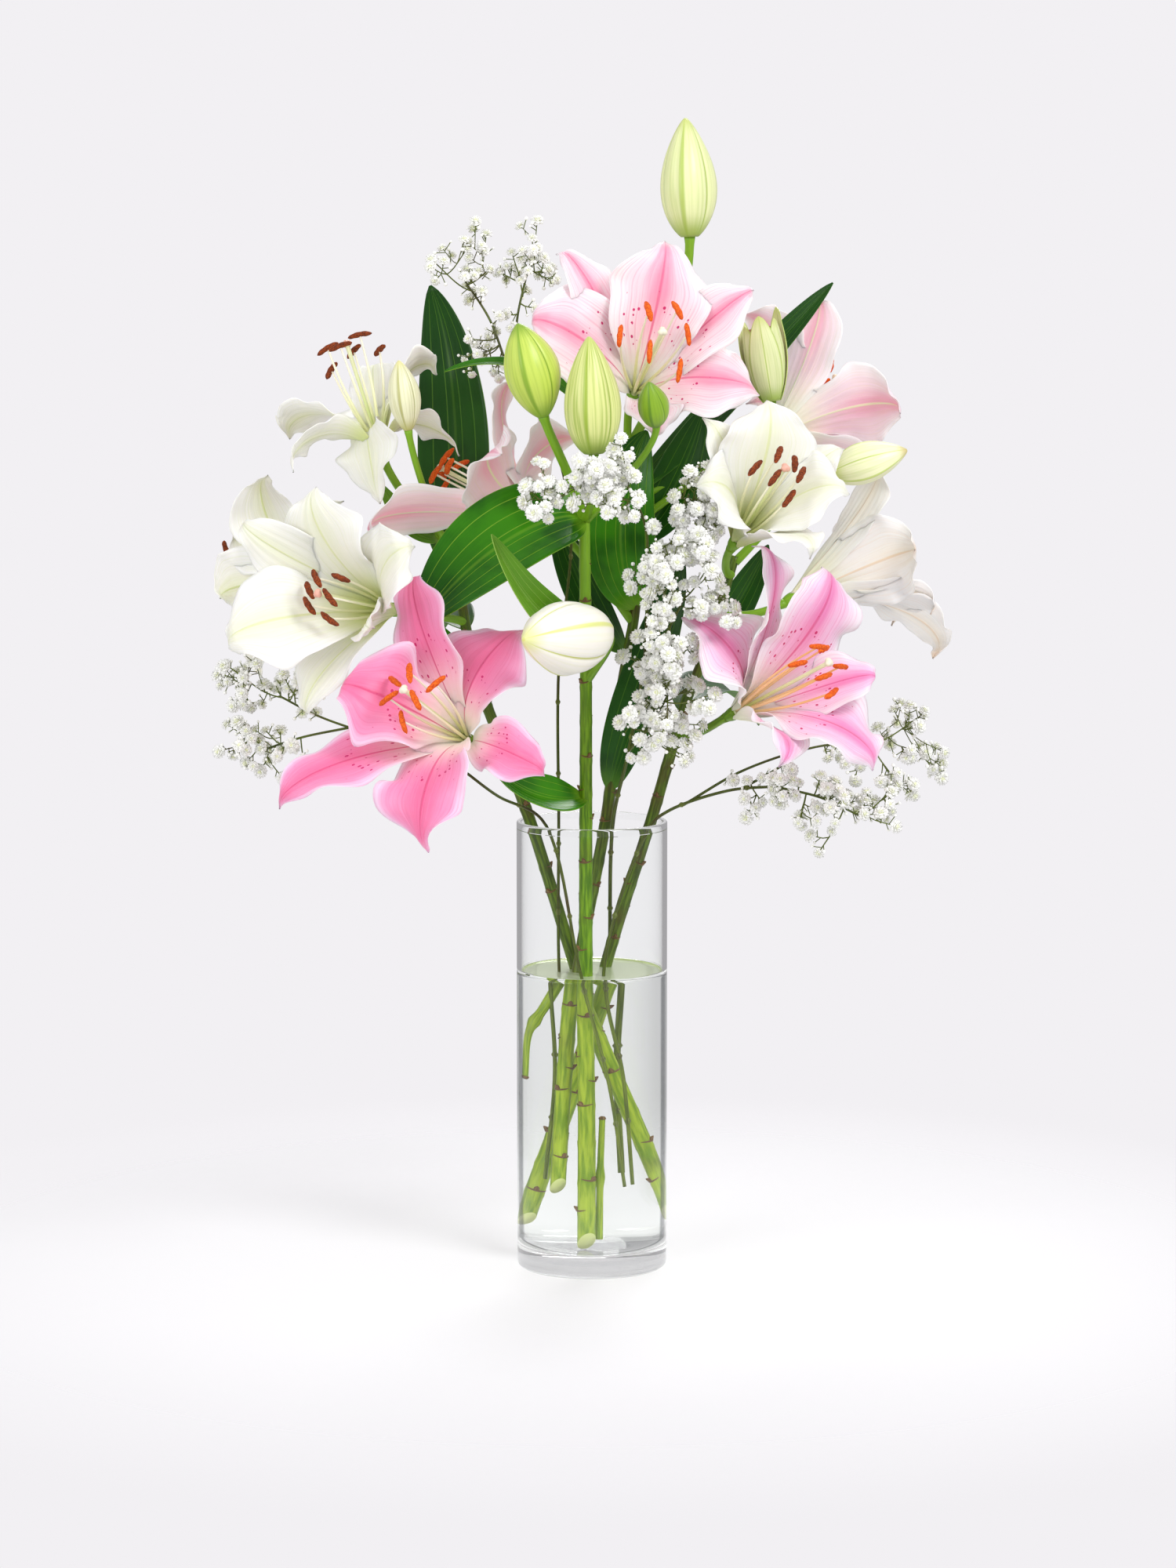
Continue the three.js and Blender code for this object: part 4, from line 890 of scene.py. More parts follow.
BLOOMS = [
    dict(name="white_left", kind="white", front="white_petal", back="white_petal_back",
         base=(-128, -40, 443), axis=(-47, -55, 15), length=104, throat=0.36, curl=35,
         ruffle=3, ring=13, turn=20, lie=(0.8, 0.1, -0.5),
         petals=[
             broad((-50, -30, 84), 62),
             narrow((-97, -16, 61), 39, curl=50),
             broad((-108, -45, -21), 70),
             narrow((-53, -35, -68), 37, curl=70),
             broad((18, -70, 46), 53, curl=80),
             narrow((-8, -62, -8), 30, curl=90),
         ]),
    dict(name="white_back", kind="white", front="white_petal", back="white_petal_back",
         base=(-185, 20, 456), axis=(-55, 75, 10), length=98, throat=0.36, curl=45,
         ruffle=3, ring=16, turn=0,
         petals=[
             broad((-35, 50, 72), 55),
             narrow((17, 70, 53), 35),
             broad((13, 78, -29), 55),
             narrow((-40, 60, -71), 35),
             broad((-67, 34, -15), 55),
             narrow((-55, 38, 35), 35),
         ]),
    dict(name="white_side", kind="white", front="white_petal", back="white_petal_back",
         base=(-139, 10, 544), axis=(-24, 32, 70), length=92, throat=0.42, curl=70,
         ruffle=2, wavy=1.3, ring=17, turn=10, lie=(0.15, 0.1, 1.0),
         petals=[
             narrow((-60, -22, -13), 37),
             broad((-66, 50, 5), 58),
             narrow((-3, 80, 47), 35),
             broad((38, 50, 50), 53),
             narrow((54, 14, -2), 35),
             broad((-2, -28, -32), 50),
         ]),
    dict(name="pink_turned", kind="pink", front="blush_petal", back="salmon_petal_back",
         base=(-33, 10, 498), axis=(-68, 24, 34), length=100, throat=0.4, curl=45,
         ruffle=3, ring=10, turn=0,
         petals=[
             broad((-27, -50, 49), 60),
             narrow((-14, 20, 95), 39),
             broad((24, 66, 54), 60),
             narrow((0, 84, 0), 39),
             broad((-30, 66, -46), 46),
             narrow((-109, -60, -8), 39, curl=60),
         ]),
    dict(name="pink_top", kind="pink", front="blush_petal", back="blush_petal_back",
         base=(27, 0, 581), axis=(18, -75, 43), length=104, throat=0.34, curl=30,
         ruffle=3, wavy=1.3, ring=21, turn=25, lie=(0.05, 0.1, 1.0),
         petals=[
             broad((21, -20, 103), 65),
             narrow((-51, -15, 95), 39, curl=55, twist=25),
             broad((-69, -46, 47), 67, curl=85),
             narrow((14, -46, -30), 35, curl=70),
             broad((84, -26, 3), 65),
             narrow((81, -20, 69), 39, curl=45),
         ]),
    dict(name="pink_right", kind="pink", front="blush_petal", back="blush_petal_back",
         base=(120, 50, 551), axis=(46, 58, 38), length=100, throat=0.4, curl=45,
         ruffle=3, ring=15, turn=0,
         petals=[
             narrow((28, 20, 94), 39, curl=60, twist=20),
             broad((90, 10, 17), 60),
             narrow((76, 30, -47), 37),
             broad((43, 82, -31), 58),
             narrow((-14, 90, 19), 37),
             broad((-20, 60, 84), 60),
         ]),
    dict(name="white_right", kind="white", front="white_petal", back="white_petal_back",
         base=(93, -30, 486), axis=(30, -62, 52), length=96, throat=0.38, curl=20,
         ruffle=2.5, ring=14, turn=5, lie=(0.5, 0.1, 0.8),
         petals=[
             broad((19, -24, 96), 65),
             narrow((-23, -30, 84), 37),
             broad((-28, -60, 41), 60, curl=40),
             narrow((47, -85, -6), 37, curl=55),
             broad((74, -50, 36), 60),
             narrow((72, -10, 64), 37),
         ]),
    dict(name="peach_right", kind="peach", front="peach_petal", back="peach_petal_back",
         base=(132, 20, 445), axis=(72, 40, 34), length=98, throat=0.4, curl=25,
         ruffle=2.5, ring=12, turn=30,
         petals=[
             narrow((52, 10, 94), 35, curl=50),
             broad((84, -20, 34), 60),
             narrow((97, 10, -12), 35, curl=50),
             broad((100, 40, -45), 60, curl=60),
             narrow((75, 84, -24), 35),
             broad((40, 88, 34), 55),
         ]),
    dict(name="pink_low_right", kind="pink", front="lilac_petal", back="blush_petal_back",
         base=(92, -30, 374), axis=(60, -55, 39), length=104, throat=0.38, curl=35,
         ruffle=3.5, wavy=1.5, ring=15, turn=15, lie=(0.9, 0.0, 0.4),
         petals=[
             broad((59, -20, 100), 65),
             narrow((11, -40, 116), 37, curl=55, twist=30),
             broad((-34, -34, 68), 60),
             narrow((27, -72, -28), 37, curl=60),
             broad((92, -45, -33), 62),
             narrow((93, -22, 24), 37, curl=50),
         ]),
    dict(name="pink_low_left", kind="pink", front="pink_petal", back="pink_petal_back",
         base=(-79, -68, 360), axis=(-40, -62, 40), length=108, throat=0.36, curl=40,
         ruffle=3.5, wavy=1.8, ring=15, turn=0,
         petals=[
             narrow((-31, -5, 110), 40, curl=60),
             broad((36, 3, 75), 65),
             narrow((52, -52, -16), 37, curl=100),
             broad((-27, -72, -64), 65, curl=45),
             narrow((-123, -37, -41), 39, curl=50),
             broad((-84, -30, 39), 65),
         ]),
]
print(len(BLOOMS), "blooms")

# %% [markdown]
# ## The line and the outline of a petal
#
# A petal leaves the receptacle beside the bloom's axis, climbs along it, and bends outwards, with its tip
# rolled back. Four handles say that in one curve. The outline is two powers multiplied: one opens the
# petal from its narrow claw, and the other closes it to the point.

# %% A petal's line and outline
INNER_OUTLINE = (1.45, 0.88)
OUTER_OUTLINE = (1.3, 1.05)
TIP_ROLL = 3
POINT_FROM = 0.58
POINT_SHARE = 0.62


def foot_and_way(bloom):
    return np.array(bloom["base"], float), unit(np.array(bloom["axis"], float))


def petal_width(t, inner):
    """Half the width from base (0) to tip (1), as a share of the greatest."""
    claw, point = INNER_OUTLINE if inner else OUTER_OUTLINE
    widest = claw / (claw + point)
    outline = ((t + 0.02) / widest) ** claw * ((1.004 - t) / (1 - widest)) ** point
    return outline * (1 - POINT_SHARE * step(POINT_FROM, 1.0, t))


def petal_line(bloom, petal):
    """The midrib's four handles, and the direction across the petal."""
    base, axis = foot_and_way(bloom)
    reach = np.array(petal["tip"], float)
    inner = petal["inner"]
    out = square_to(reach, axis)
    length = max(bloom["length"], np.linalg.norm(reach) * 1.06)
    root = base + out * (2.9 if inner else 3.6)
    throat = bloom["throat"] * (1 if inner else 0.75)
    rise = root + axis * length * throat + out * length * (0.05 if inner else 0.12)
    bend = math.radians(petal.get("curl", bloom["curl"]) + TIP_ROLL)
    leaving = out * math.cos(bend) - axis * math.sin(bend)
    tip = base + reach
    return (root, rise, tip - leaving * length * 0.3, tip), np.cross(axis, out)


print("an inner petal is widest at", round(INNER_OUTLINE[0] / sum(INNER_OUTLINE), 2), "of its length")

# %% [markdown]
# ## The surface of a petal
#
# No petal is flat. It is a trough at its base and folds back towards the tip, its margins ruffle, a groove
# runs down the middle, and soft pleats lie beside it. A cloth simulation could give ruffles, but not the
# same ones each run, so every swell is a sine with a seeded shift, added up to one height over the blade.

# %% A petal's surface
TIP_TWIST = 70
TIP_DROP = 3.5
RUFFLE_PACE = 15
FRILL_PACE = 26
RIM_HALF_THICK = 0.16
MIDRIB_EXTRA = 0.3
PETAL_ROWS = 46
PETAL_COLUMNS = 29


def petal_relief(bloom, inner, t, s, key):
    """What stands off the petal's trough: ruffles, frilled margins, groove, pleats and drooping tip."""
    wave = bloom["ruffle"] * bloom.get("wavy", 1.0) * (1.5 if inner else 0.9)
    shift = np.where(s > 0, 2.1, 0.0) + 6.3 * draw(key + 3)
    ruffle = wave * np.sin(np.pi * t ** 1.3) ** 1.5 * np.abs(s) ** 2.5 * np.sin(RUFFLE_PACE * t + shift)
    frill = np.sin(FRILL_PACE * t + 9 * draw(key) + 2 * shift) + 0.35 * np.sin(47 * t + 5 * draw(key + 1))
    margin = (2.2 if inner else 1.2) * step(0.2, 0.45, t) * (1 - step(0.88, 1.0, t)) * np.abs(s) ** 4
    groove = -0.9 * np.exp(-(s / 0.07) ** 2) * (1 - 0.8 * t) * step(0, 0.1, t)
    pleats = 0.32 * np.cos(2 * np.pi * 4 * s + 2 * t) * (1 - s * s) * np.sin(np.pi * t)
    return ruffle + margin * frill + groove + pleats - TIP_DROP * step(0.8, 1.0, t) ** 2


def petal_sheet(bloom, petal, t, s, key):
    """A grid of points on the petal's middle surface."""
    handles, side = petal_line(bloom, petal)
    places, ways = bezier(handles, t)
    tip_twist = np.radians(TIP_TWIST * (draw(key + 4) - 0.5))
    twist = np.radians(petal.get("twist", 0)) * t ** 2 + tip_twist * t ** 4
    across = side * np.cos(twist)[:, None] + np.cross(ways, side) * np.sin(twist)[:, None]
    face = np.cross(ways, across)
    half = np.maximum(0.5, petal["width"] / 2 * petal_width(t, petal["inner"]))[:, None]
    t, s = t[:, None], s[None, :]
    trough = 0.42 * np.maximum(1 - t, 0) ** 1.3
    height = half * (trough - 0.22 * t * t) * s * s + petal_relief(bloom, petal["inner"], t, s, key)
    wander = 1 + 0.03 * bloom.get("wavy", 1.0) ** 2 * np.sin(21 * t + 7 * draw(key + 2) + 4 * (s > 0))
    lateral = half * s * (1 - 0.12 * trough * s * s) * wander
    return places[:, None] + across[:, None] * lateral[..., None] + face[:, None] * height[..., None]


def sheet_normals(sheet):
    """The direction of the face at each point of a grid, from its neighbours."""
    return unit(np.cross(np.gradient(sheet, axis=0), np.gradient(sheet, axis=1)))


def add_petal(growth, bloom, petal, key):
    """A petal with its thickness: about 0.9 mm at the midrib, thinner towards the rim."""
    t, s = np.linspace(0, 1, PETAL_ROWS), np.linspace(-1, 1, PETAL_COLUMNS)
    sheet = petal_sheet(bloom, petal, t, s, key)
    half_thick = RIM_HALF_THICK + MIDRIB_EXTRA * (1 - s[None, :] ** 2)
    skin = sheet_normals(sheet) * half_thick[..., None]
    growth.blade(sheet + skin, sheet - skin, (s + 1) / 2, t)


print("faces in one side of a petal:", (PETAL_ROWS - 1) * (PETAL_COLUMNS - 1))

# %% [markdown]
# ## The petals of every bloom
#
# The six petals of a lily grow together on a small green swelling, the receptacle, so they make one piece
# with it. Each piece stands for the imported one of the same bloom. Its points are kept in a list too: the
# fine twigs, which come last, have to keep out of their way.

# %% All the petals
RECEPTACLE_BACK = 6
RECEPTACLE_FRONT = 3
RECEPTACLE_FINISH = 2

obstacles = []
for bloom in BLOOMS:
    growth = Growth()
    for k, petal in enumerate(bloom["petals"]):
        add_petal(growth, bloom, petal, len(bloom["name"]) * 31 + k * 7.3)
    base, axis = foot_and_way(bloom)
    reach = np.linspace(-RECEPTACLE_BACK, RECEPTACLE_FRONT, 8)
    swell = 4.6 * (0.62 + 0.38 * np.sin(np.linspace(0.1, 1.9, 8)))
    growth.tube(base + reach[:, None] * axis, swell, 18, RECEPTACLE_FINISH, ways=axis)
    looks = [petal_materials[bloom["front"]], petal_materials[bloom["back"]], stem_green]
    growth.finish_as("petals_" + bloom["name"], looks, bloom["name"] + "_petals")
    obstacles.append(growth.cloud())

# %% [markdown]
# ## Pollen and filaments
#
# The grain bags are thick with pollen: rust-brown in the white and peach lilies, orange-red in the pink
# ones. Pollen is as matt as a finish can be, with grains that show as a fine bump. The filaments are pale
# and a little translucent, like the petals, and change their colour from foot to end.


# %% Stamen materials
def pollen_finish(name, bright, dark):
    made = Finish(name, roughness=0.85, scatter=0.05)
    grain = made.noise(made.place(), 900.0, detail=4, rough=0.7)
    patch = made.noise(made.place(), 160.0, detail=2)
    body = made.mix(made.ramp(grain, 0.35, 0.65), tint(*dark), tint(*bright))
    made.colour(made.mix(made.ramp(patch, 0.45, 0.7, 0, 0.5), body, tint(*dark)))
    made.bump(grain, 0.7, 0.5)
    return made.material


def filament_finish(name, foot, end):
    made = Finish(name, roughness=0.45, scatter=0.3, scatter_mm=1.5)
    pair, _, v = made.uv()
    body = made.mix(made.ramp(v, 0, 1), tint(*foot), tint(*end))
    made.colour(made.mix(made.ramp(made.streaks(pair, 9, 0.2), 0.4, 0.8, 0, 0.3), body, tint(*foot)))
    return made.material


rust_pollen = pollen_finish("rust_pollen", (158, 68, 10), (86, 30, 4))
orange_pollen = pollen_finish("orange_pollen", (246, 116, 14), (206, 70, 6))
pale_filament = filament_finish("pale_filament", (226, 230, 168), (246, 240, 220))
peach_filament = filament_finish("peach_filament", (246, 220, 168), (236, 178, 112))
style_green = filament_finish("style_green", (206, 220, 140), (232, 234, 190))
stigma_pink = filament_finish("stigma_pink", (230, 190, 160), (236, 178, 160))
stigma_cream = filament_finish("stigma_cream", (224, 224, 190), (240, 236, 214))
print("pollen:", rust_pollen.name, "and", orange_pollen.name)

# %% [markdown]
# ## Anthers and filaments
#
# Six pale filaments fan out from the throat, and each carries a long anther hung across its end. An anther
# could be a plain capsule, but a real one is bent, has a furrow down one side and looks dusty. So it is a
# short tube whose radius changes with the angle, for the furrow, and a little along it.

# %% Anthers and filaments
FILAMENT, POLLEN, STYLE, STIGMA = range(4)
HUB_LENGTH = 4
FILAMENT_RING = 1.5
ANTHER_LENGTH = 16.5
ANTHER_RADIUS = 2.1
FURROW = 0.32


def anther_place(bloom, k):
    """Where the k-th filament ends, and which way that is from the axis. They alternate long and short."""
    axis_full = np.array(bloom["axis"], float)
    axis = unit(axis_full)
    up = square_to(np.array([0, 0, 1.0]), axis)
    angle = math.radians(bloom["turn"] + 60 * k)
    out = up * math.cos(angle) + np.cross(axis, up) * math.sin(angle)
    reach = axis * np.linalg.norm(axis_full) * (0.88 if k % 2 else 0.98)
    return np.array(bloom["base"], float) + reach + out * bloom["ring"] * (1.2 if k % 2 else 0.8), out


def furrowed(angles):
    return 1 - FURROW * np.exp(-((np.cos(angles) - 1) / 0.35) ** 2) + 0.05 * np.sin(5 * angles)


def add_anther(growth, at, lie, stalk, key):
    """A bent, furrowed grain bag across the filament's end."""
    v = np.linspace(-1, 1, 17)
    bow = 1.1 * (1 - v * v) + 0.5 * (draw(key) - 0.5) * v
    places = at + lie * (v * ANTHER_LENGTH / 2)[:, None] + stalk * (bow - 0.5)[:, None]
    swell = ANTHER_RADIUS * np.clip(1 - np.abs(v) ** 3.2, 0.02, 1) ** 0.5
    swell = swell * (1 + 0.08 * np.sin(v * 9 + 6 * draw(key + 1)))
    growth.tube(places, swell, 16, POLLEN, ways=lie, shape=furrowed)


def add_stamen(growth, bloom, root, k):
    """A filament that bows outwards, with its anther."""
    at, out = anther_place(bloom, k)
    foot = root + out * FILAMENT_RING
    stalk = unit(at - foot)
    bow = out * np.linalg.norm(at - foot) * 0.035
    t = np.linspace(0, 1, 14)
    places = foot + t[:, None] * (at - foot) + bow * np.sin(np.pi * t)[:, None]
    growth.tube(places, 1.15 - 0.5 * t, 10, FILAMENT, v=t)
    _, axis = foot_and_way(bloom)
    lie = np.array(bloom.get("lie", out))
    lean = mix(-0.7, 0.7, draw(k * 3 + 5)) * (0.4 if "lie" in bloom else 1)
    add_anther(growth, at + stalk * 0.6, square_to(lie + np.cross(axis, out) * lean, stalk), stalk,
               k * 3.7 + bloom["turn"])


print("an anther is", ANTHER_LENGTH, "mm long")

# %% [markdown]
# ## The pistil, and the stamens of every bloom
#
# Among the stamens stands the style, stouter than they are, and it ends in a stigma with three lobes. A
# small hub in the throat holds it and the filaments together, so that all of them make one piece, as they
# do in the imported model.

# %% Stamens and pistil of every bloom
HUB_GAP = 0.3


def three_lobes(angles):
    return 1 + 0.16 * np.cos(3 * angles) - 0.05 * np.cos(6 * angles)


def add_pistil(growth, root, stigma, axis):
    t, w = np.linspace(0, 1, 14), np.linspace(0, 1, 9)
    growth.tube(root + t[:, None] * (stigma - root), 1.15 + 0.4 * t ** 3, 12, STYLE, ways=axis, v=t)
    swell = 3.0 * np.sin(np.pi * mix(0.12, 0.9, w)) ** 0.7
    places = stigma + (w * 4.6 - 2.6)[:, None] * axis
    growth.tube(places, swell, 24, STIGMA, ways=axis, v=w, shape=three_lobes)


for bloom in BLOOMS:
    growth = Growth()
    base, axis = foot_and_way(bloom)
    start = base + axis * (RECEPTACLE_FRONT + HUB_GAP)
    root = start + axis * HUB_LENGTH / 2
    t = np.linspace(0, 1, 14)
    growth.tube(start + (t * HUB_LENGTH)[:, None] * axis, 2.4 - 0.6 * t ** 2, 14, STYLE, ways=axis)
    for k in range(6):
        add_stamen(growth, bloom, root, k)
    add_pistil(growth, root, base + np.array(bloom["axis"], float), axis)
    pink = bloom["kind"] == "pink"
    filament = peach_filament if bloom["name"] == "pink_low_right" else pale_filament
    pollen, stigma = (orange_pollen, stigma_cream) if pink else (rust_pollen, stigma_pink)
    looks = [filament, pollen, style_green, stigma]
    growth.finish_as("stamens_" + bloom["name"], looks, bloom["name"] + "_stamens")
    obstacles.append(growth.cloud())

# %% [markdown]
# ## Bud finishes
#
# A bud's three outer petals are greenest along their ribs and where they meet, and at the foot. An older bud
# turns cream, a young one is bright green. The UV across runs once round the bud, so three times that
# number gives the same pattern on each petal.


# %% Bud materials
def bud_finish(name, body, rib, foot, tip, rib_width=0.07, vein_share=0.3):
    """rib_width: as a share of a petal's width. vein_share: how strongly the fine veins show."""
    made = Finish(name, roughness=0.36, scatter=0.35, scatter_mm=2.5, sheen=0.1)
    body, rib, foot, tip = tint(*body), tint(*rib), tint(*foot), tint(*tip)
    pair, u, v = made.uv()
    veins = made.streaks(pair, 60, 1.4)
    body = made.mix(made.ramp(veins, 0.4, 0.7, 0, vein_share), body, rib)
    lane = made.math("FRACT", made.times(u, 3.0))
    from_rib = made.math("MINIMUM", lane, made.math("SUBTRACT", 1.0, lane))
    line = made.ramp(from_rib, rib_width * 0.3, rib_width, 1.0, 0.0)
    body = made.mix(made.times(line, 0.75), body, rib)
    body = made.mix(made.ramp(from_rib, 0.47, 0.5, 0.0, 0.9), body, rib)
    body = made.mix(made.ramp(v, 0.0, 0.22, 0.9, 0.0), body, foot)
    body = made.mix(made.ramp(v, 0.84, 1.0, 0.0, 0.8), body, tip)
    made.colour(body)
    made.bump(veins, 0.3, 0.4)
    return made.material


BUD_LOOKS = {
    "pale_bud": dict(body=(230, 236, 178), rib=(170, 194, 78), foot=(160, 190, 70), tip=(196, 208, 116)),
    "fresh_bud": dict(body=(200, 220, 96), rib=(122, 164, 30), foot=(140, 182, 46), tip=(116, 158, 40)),
    "cream_bud": dict(body=(250, 246, 234), rib=(214, 222, 90), foot=(236, 222, 206), tip=(226, 230, 140),
                      rib_width=0.045, vein_share=0.1),
    "ribbed_bud": dict(body=(222, 228, 150), rib=(150, 178, 44), foot=(160, 190, 70), tip=(196, 208, 116),
                       rib_width=0.06, vein_share=0.7),
    "small_green_bud": dict(body=(140, 178, 40), rib=(84, 130, 16), foot=(104, 146, 24), tip=(110, 150, 30)),
    "slim_bud": dict(body=(240, 240, 204), rib=(176, 176, 100), foot=(196, 196, 110), tip=(224, 220, 150),
                     vein_share=0.4),
    "side_bud": dict(body=(246, 248, 206), rib=(196, 216, 96), foot=(206, 222, 110), tip=(200, 180, 110),
                     rib_width=0.05),
}
bud_materials = {name: bud_finish(name, **look) for name, look in BUD_LOOKS.items()}
bud_heart = pollen_finish("bud_heart", (206, 150, 120), (150, 84, 66))
print("bud finishes:", len(bud_materials))

# %% [markdown]
# ## Closed buds
#
# A bud is three outer petals folded edge to edge round the others. Each has a raised rib down its back
# between two soft furrows, and meets its neighbours in a sharp seam. A turned spindle would look like a
# bean, so the section's radius follows the angle: three swellings, each with a rib, and three seams. A
# lower belly number puts the greatest width nearer to the foot.

# %% Closed buds
BUDS = [
    dict(name="bud_tall", kind="pale", look="pale_bud",
         base=(64, 10, 684), tip=(61, 10, 761), width=37, belly=0.8),
    dict(name="bud_fresh", kind="fresh", look="fresh_bud",
         base=(-31, -79, 570), tip=(-47, -90, 629), width=35, belly=0.95),
    dict(name="bud_ribbed", kind="pale", look="ribbed_bud",
         base=(1, -94, 547), tip=(-2, -100, 621), width=36, belly=0.75),
    dict(name="bud_small", kind="fresh", look="small_green_bud",
         base=(41, -74, 564), tip=(36, -90, 592), width=20, belly=0.8),
    dict(name="bud_slim", kind="cream", look="slim_bud",
         base=(-120, -12, 558), tip=(-126, -14, 604), width=21, belly=0.95),
    dict(name="bud_opening", kind="pale", look="pale_bud",
         base=(118, 0, 577), tip=(108, 0, 637), width=31, open=True),
    dict(name="bud_side", kind="pale", look="side_bud",
         base=(157, 0, 529), tip=(207, 0, 545), width=27, belly=0.85),
    dict(name="bud_cream", kind="cream", look="cream_bud",
         base=(8, -75, 430), tip=(-43, -134, 432), width=47, belly=0.85),
]
BUD_ROWS = 44
BUD_SIDES = 72


def bud_frame(bud):
    """A bud's foot and tip, its axis, and two directions square to that."""
    base, tip = np.array(bud["base"], float), np.array(bud["tip"], float)
    axis = unit(tip - base)
    side = square_to(np.array([1, 0.3, 0.2]), axis)
    return base, tip, axis, side, np.cross(axis, side)


def add_closed_bud(growth, bud):
    base, tip, _, side, normal = bud_frame(bud)
    t = np.linspace(0, 1, BUD_ROWS)
    swell = np.sin(np.pi * mix(0.035, 0.992, t) ** bud["belly"]) ** 0.75
    angles = circle(BUD_SIDES)
    from_rib = np.abs((angles * 3 / (2 * np.pi) + 0.5) % 1 - 0.5)
    rib = 0.035 * np.exp(-(from_rib / 0.035) ** 2) - 0.03 * np.exp(-((from_rib - 0.12) / 0.06) ** 2)
    seam = -0.07 * np.exp(-((from_rib - 0.5) / 0.03) ** 2)
    fade = np.sin(np.pi * np.clip(t, 0.03, 0.97)) ** 0.5
    around = 1 + 0.06 * np.cos(3 * angles)[None] * swell[:, None] + (rib + seam)[None] * fade[:, None]
    r = bud["width"] / 2 * swell[:, None] * around
    middle = (base + t[:, None] * (tip - base))[:, None]
    sheet = middle + r[..., None] * spokes(side[None], normal[None], angles)
    growth.grid(sheet, np.linspace(0, 1, BUD_SIDES + 1), t, closed=True)


print(len(BUDS), "buds, the widest", max(bud["width"] for bud in BUDS), "mm")

# %% [markdown]
# ## The bud that opens
#
# One bud is about to open: six upright petals stand round a brownish heart, and their tips just part. Cutting
# the closed bud up would leave hollow shells, so these petals are blades again, each bent round the axis
# to the radius that it stands at.

# %% The half-open bud
OPEN_HEIGHTS = (0.99, 0.8, 0.97, 0.84, 0.93, 0.88)
OPEN_HALF_THICK = 0.3
PETAL_LOOK, HEART_LOOK = range(2)


def add_open_petal(growth, bud, k):
    base, tip, axis, side, normal = bud_frame(bud)
    t, s = np.linspace(0, 1, 30), np.linspace(-1, 1, 13)
    angle = math.radians(60 * k + 12)
    out = side * math.cos(angle) + normal * math.sin(angle)
    tall = np.linalg.norm(tip - base) * OPEN_HEIGHTS[k]
    outer = k % 2 == 0
    swell = np.sin(np.pi * mix(0.06, 0.68, t) ** 0.85) ** 0.75
    r = bud["width"] / 2 * swell * (1.0 if outer else 0.86) + (1.6 if outer else 0.2) * step(0.8, 1.0, t)
    r = r[:, None]
    half = bud["width"] * 0.36 * np.sin(np.pi * (0.1 + 0.9 * t)) ** 0.6 + 0.3
    spread = s[None] * half[:, None]
    bend = r * (1 - np.cos(np.clip(spread / np.maximum(r, 3), -1.2, 1.2)))
    sheet = (base + t[:, None, None] * tall * axis + (r - bend)[..., None] * out
             + (spread * 0.92)[..., None] * np.cross(axis, out))
    rib = 0.5 * np.exp(-(s / 0.12) ** 2)[None, :, None] * np.sin(np.pi * t)[:, None, None]
    growth.blade(sheet + out * (OPEN_HALF_THICK + rib), sheet - out * OPEN_HALF_THICK, (s + 1) / 6 + 1 / 3, t,
                 PETAL_LOOK, PETAL_LOOK)


def add_open_bud(growth, bud):
    for k in range(6):
        add_open_petal(growth, bud, k)
    base, tip, axis, _, _ = bud_frame(bud)
    w = np.linspace(0.1, 0.8, 10)
    growth.tube(base + (w * np.linalg.norm(tip - base))[:, None] * axis, 2.5 + 7 * np.sin(np.pi * w), 14,
                HEART_LOOK, ways=axis, v=w, shape=lambda a: 1 + 0.12 * np.cos(6 * a))


for bud in BUDS:
    growth = Growth()
    looks = [bud_materials[bud["look"]]]
    if bud.get("open"):
        add_open_bud(growth, bud)
        looks.append(bud_heart)
    else:
        add_closed_bud(growth, bud)
    state = "open_" if bud.get("open") else "closed_"
    growth.finish_as(state + bud["name"], looks, bud["name"])
    obstacles.append(growth.cloud())

# %% [markdown]
# ## Four leafy stems
#
# Four lily stems cross in the water and spread above the rim. Each bloom and bud hangs on its own pedicel,
# and each stem has its own few leaves, so a table says what belongs to which stem. A pedicel starts at
# the stem and goes by one more point to the foot of what it carries. A leaf's spine has four handles, and
# its face is the way it looks.

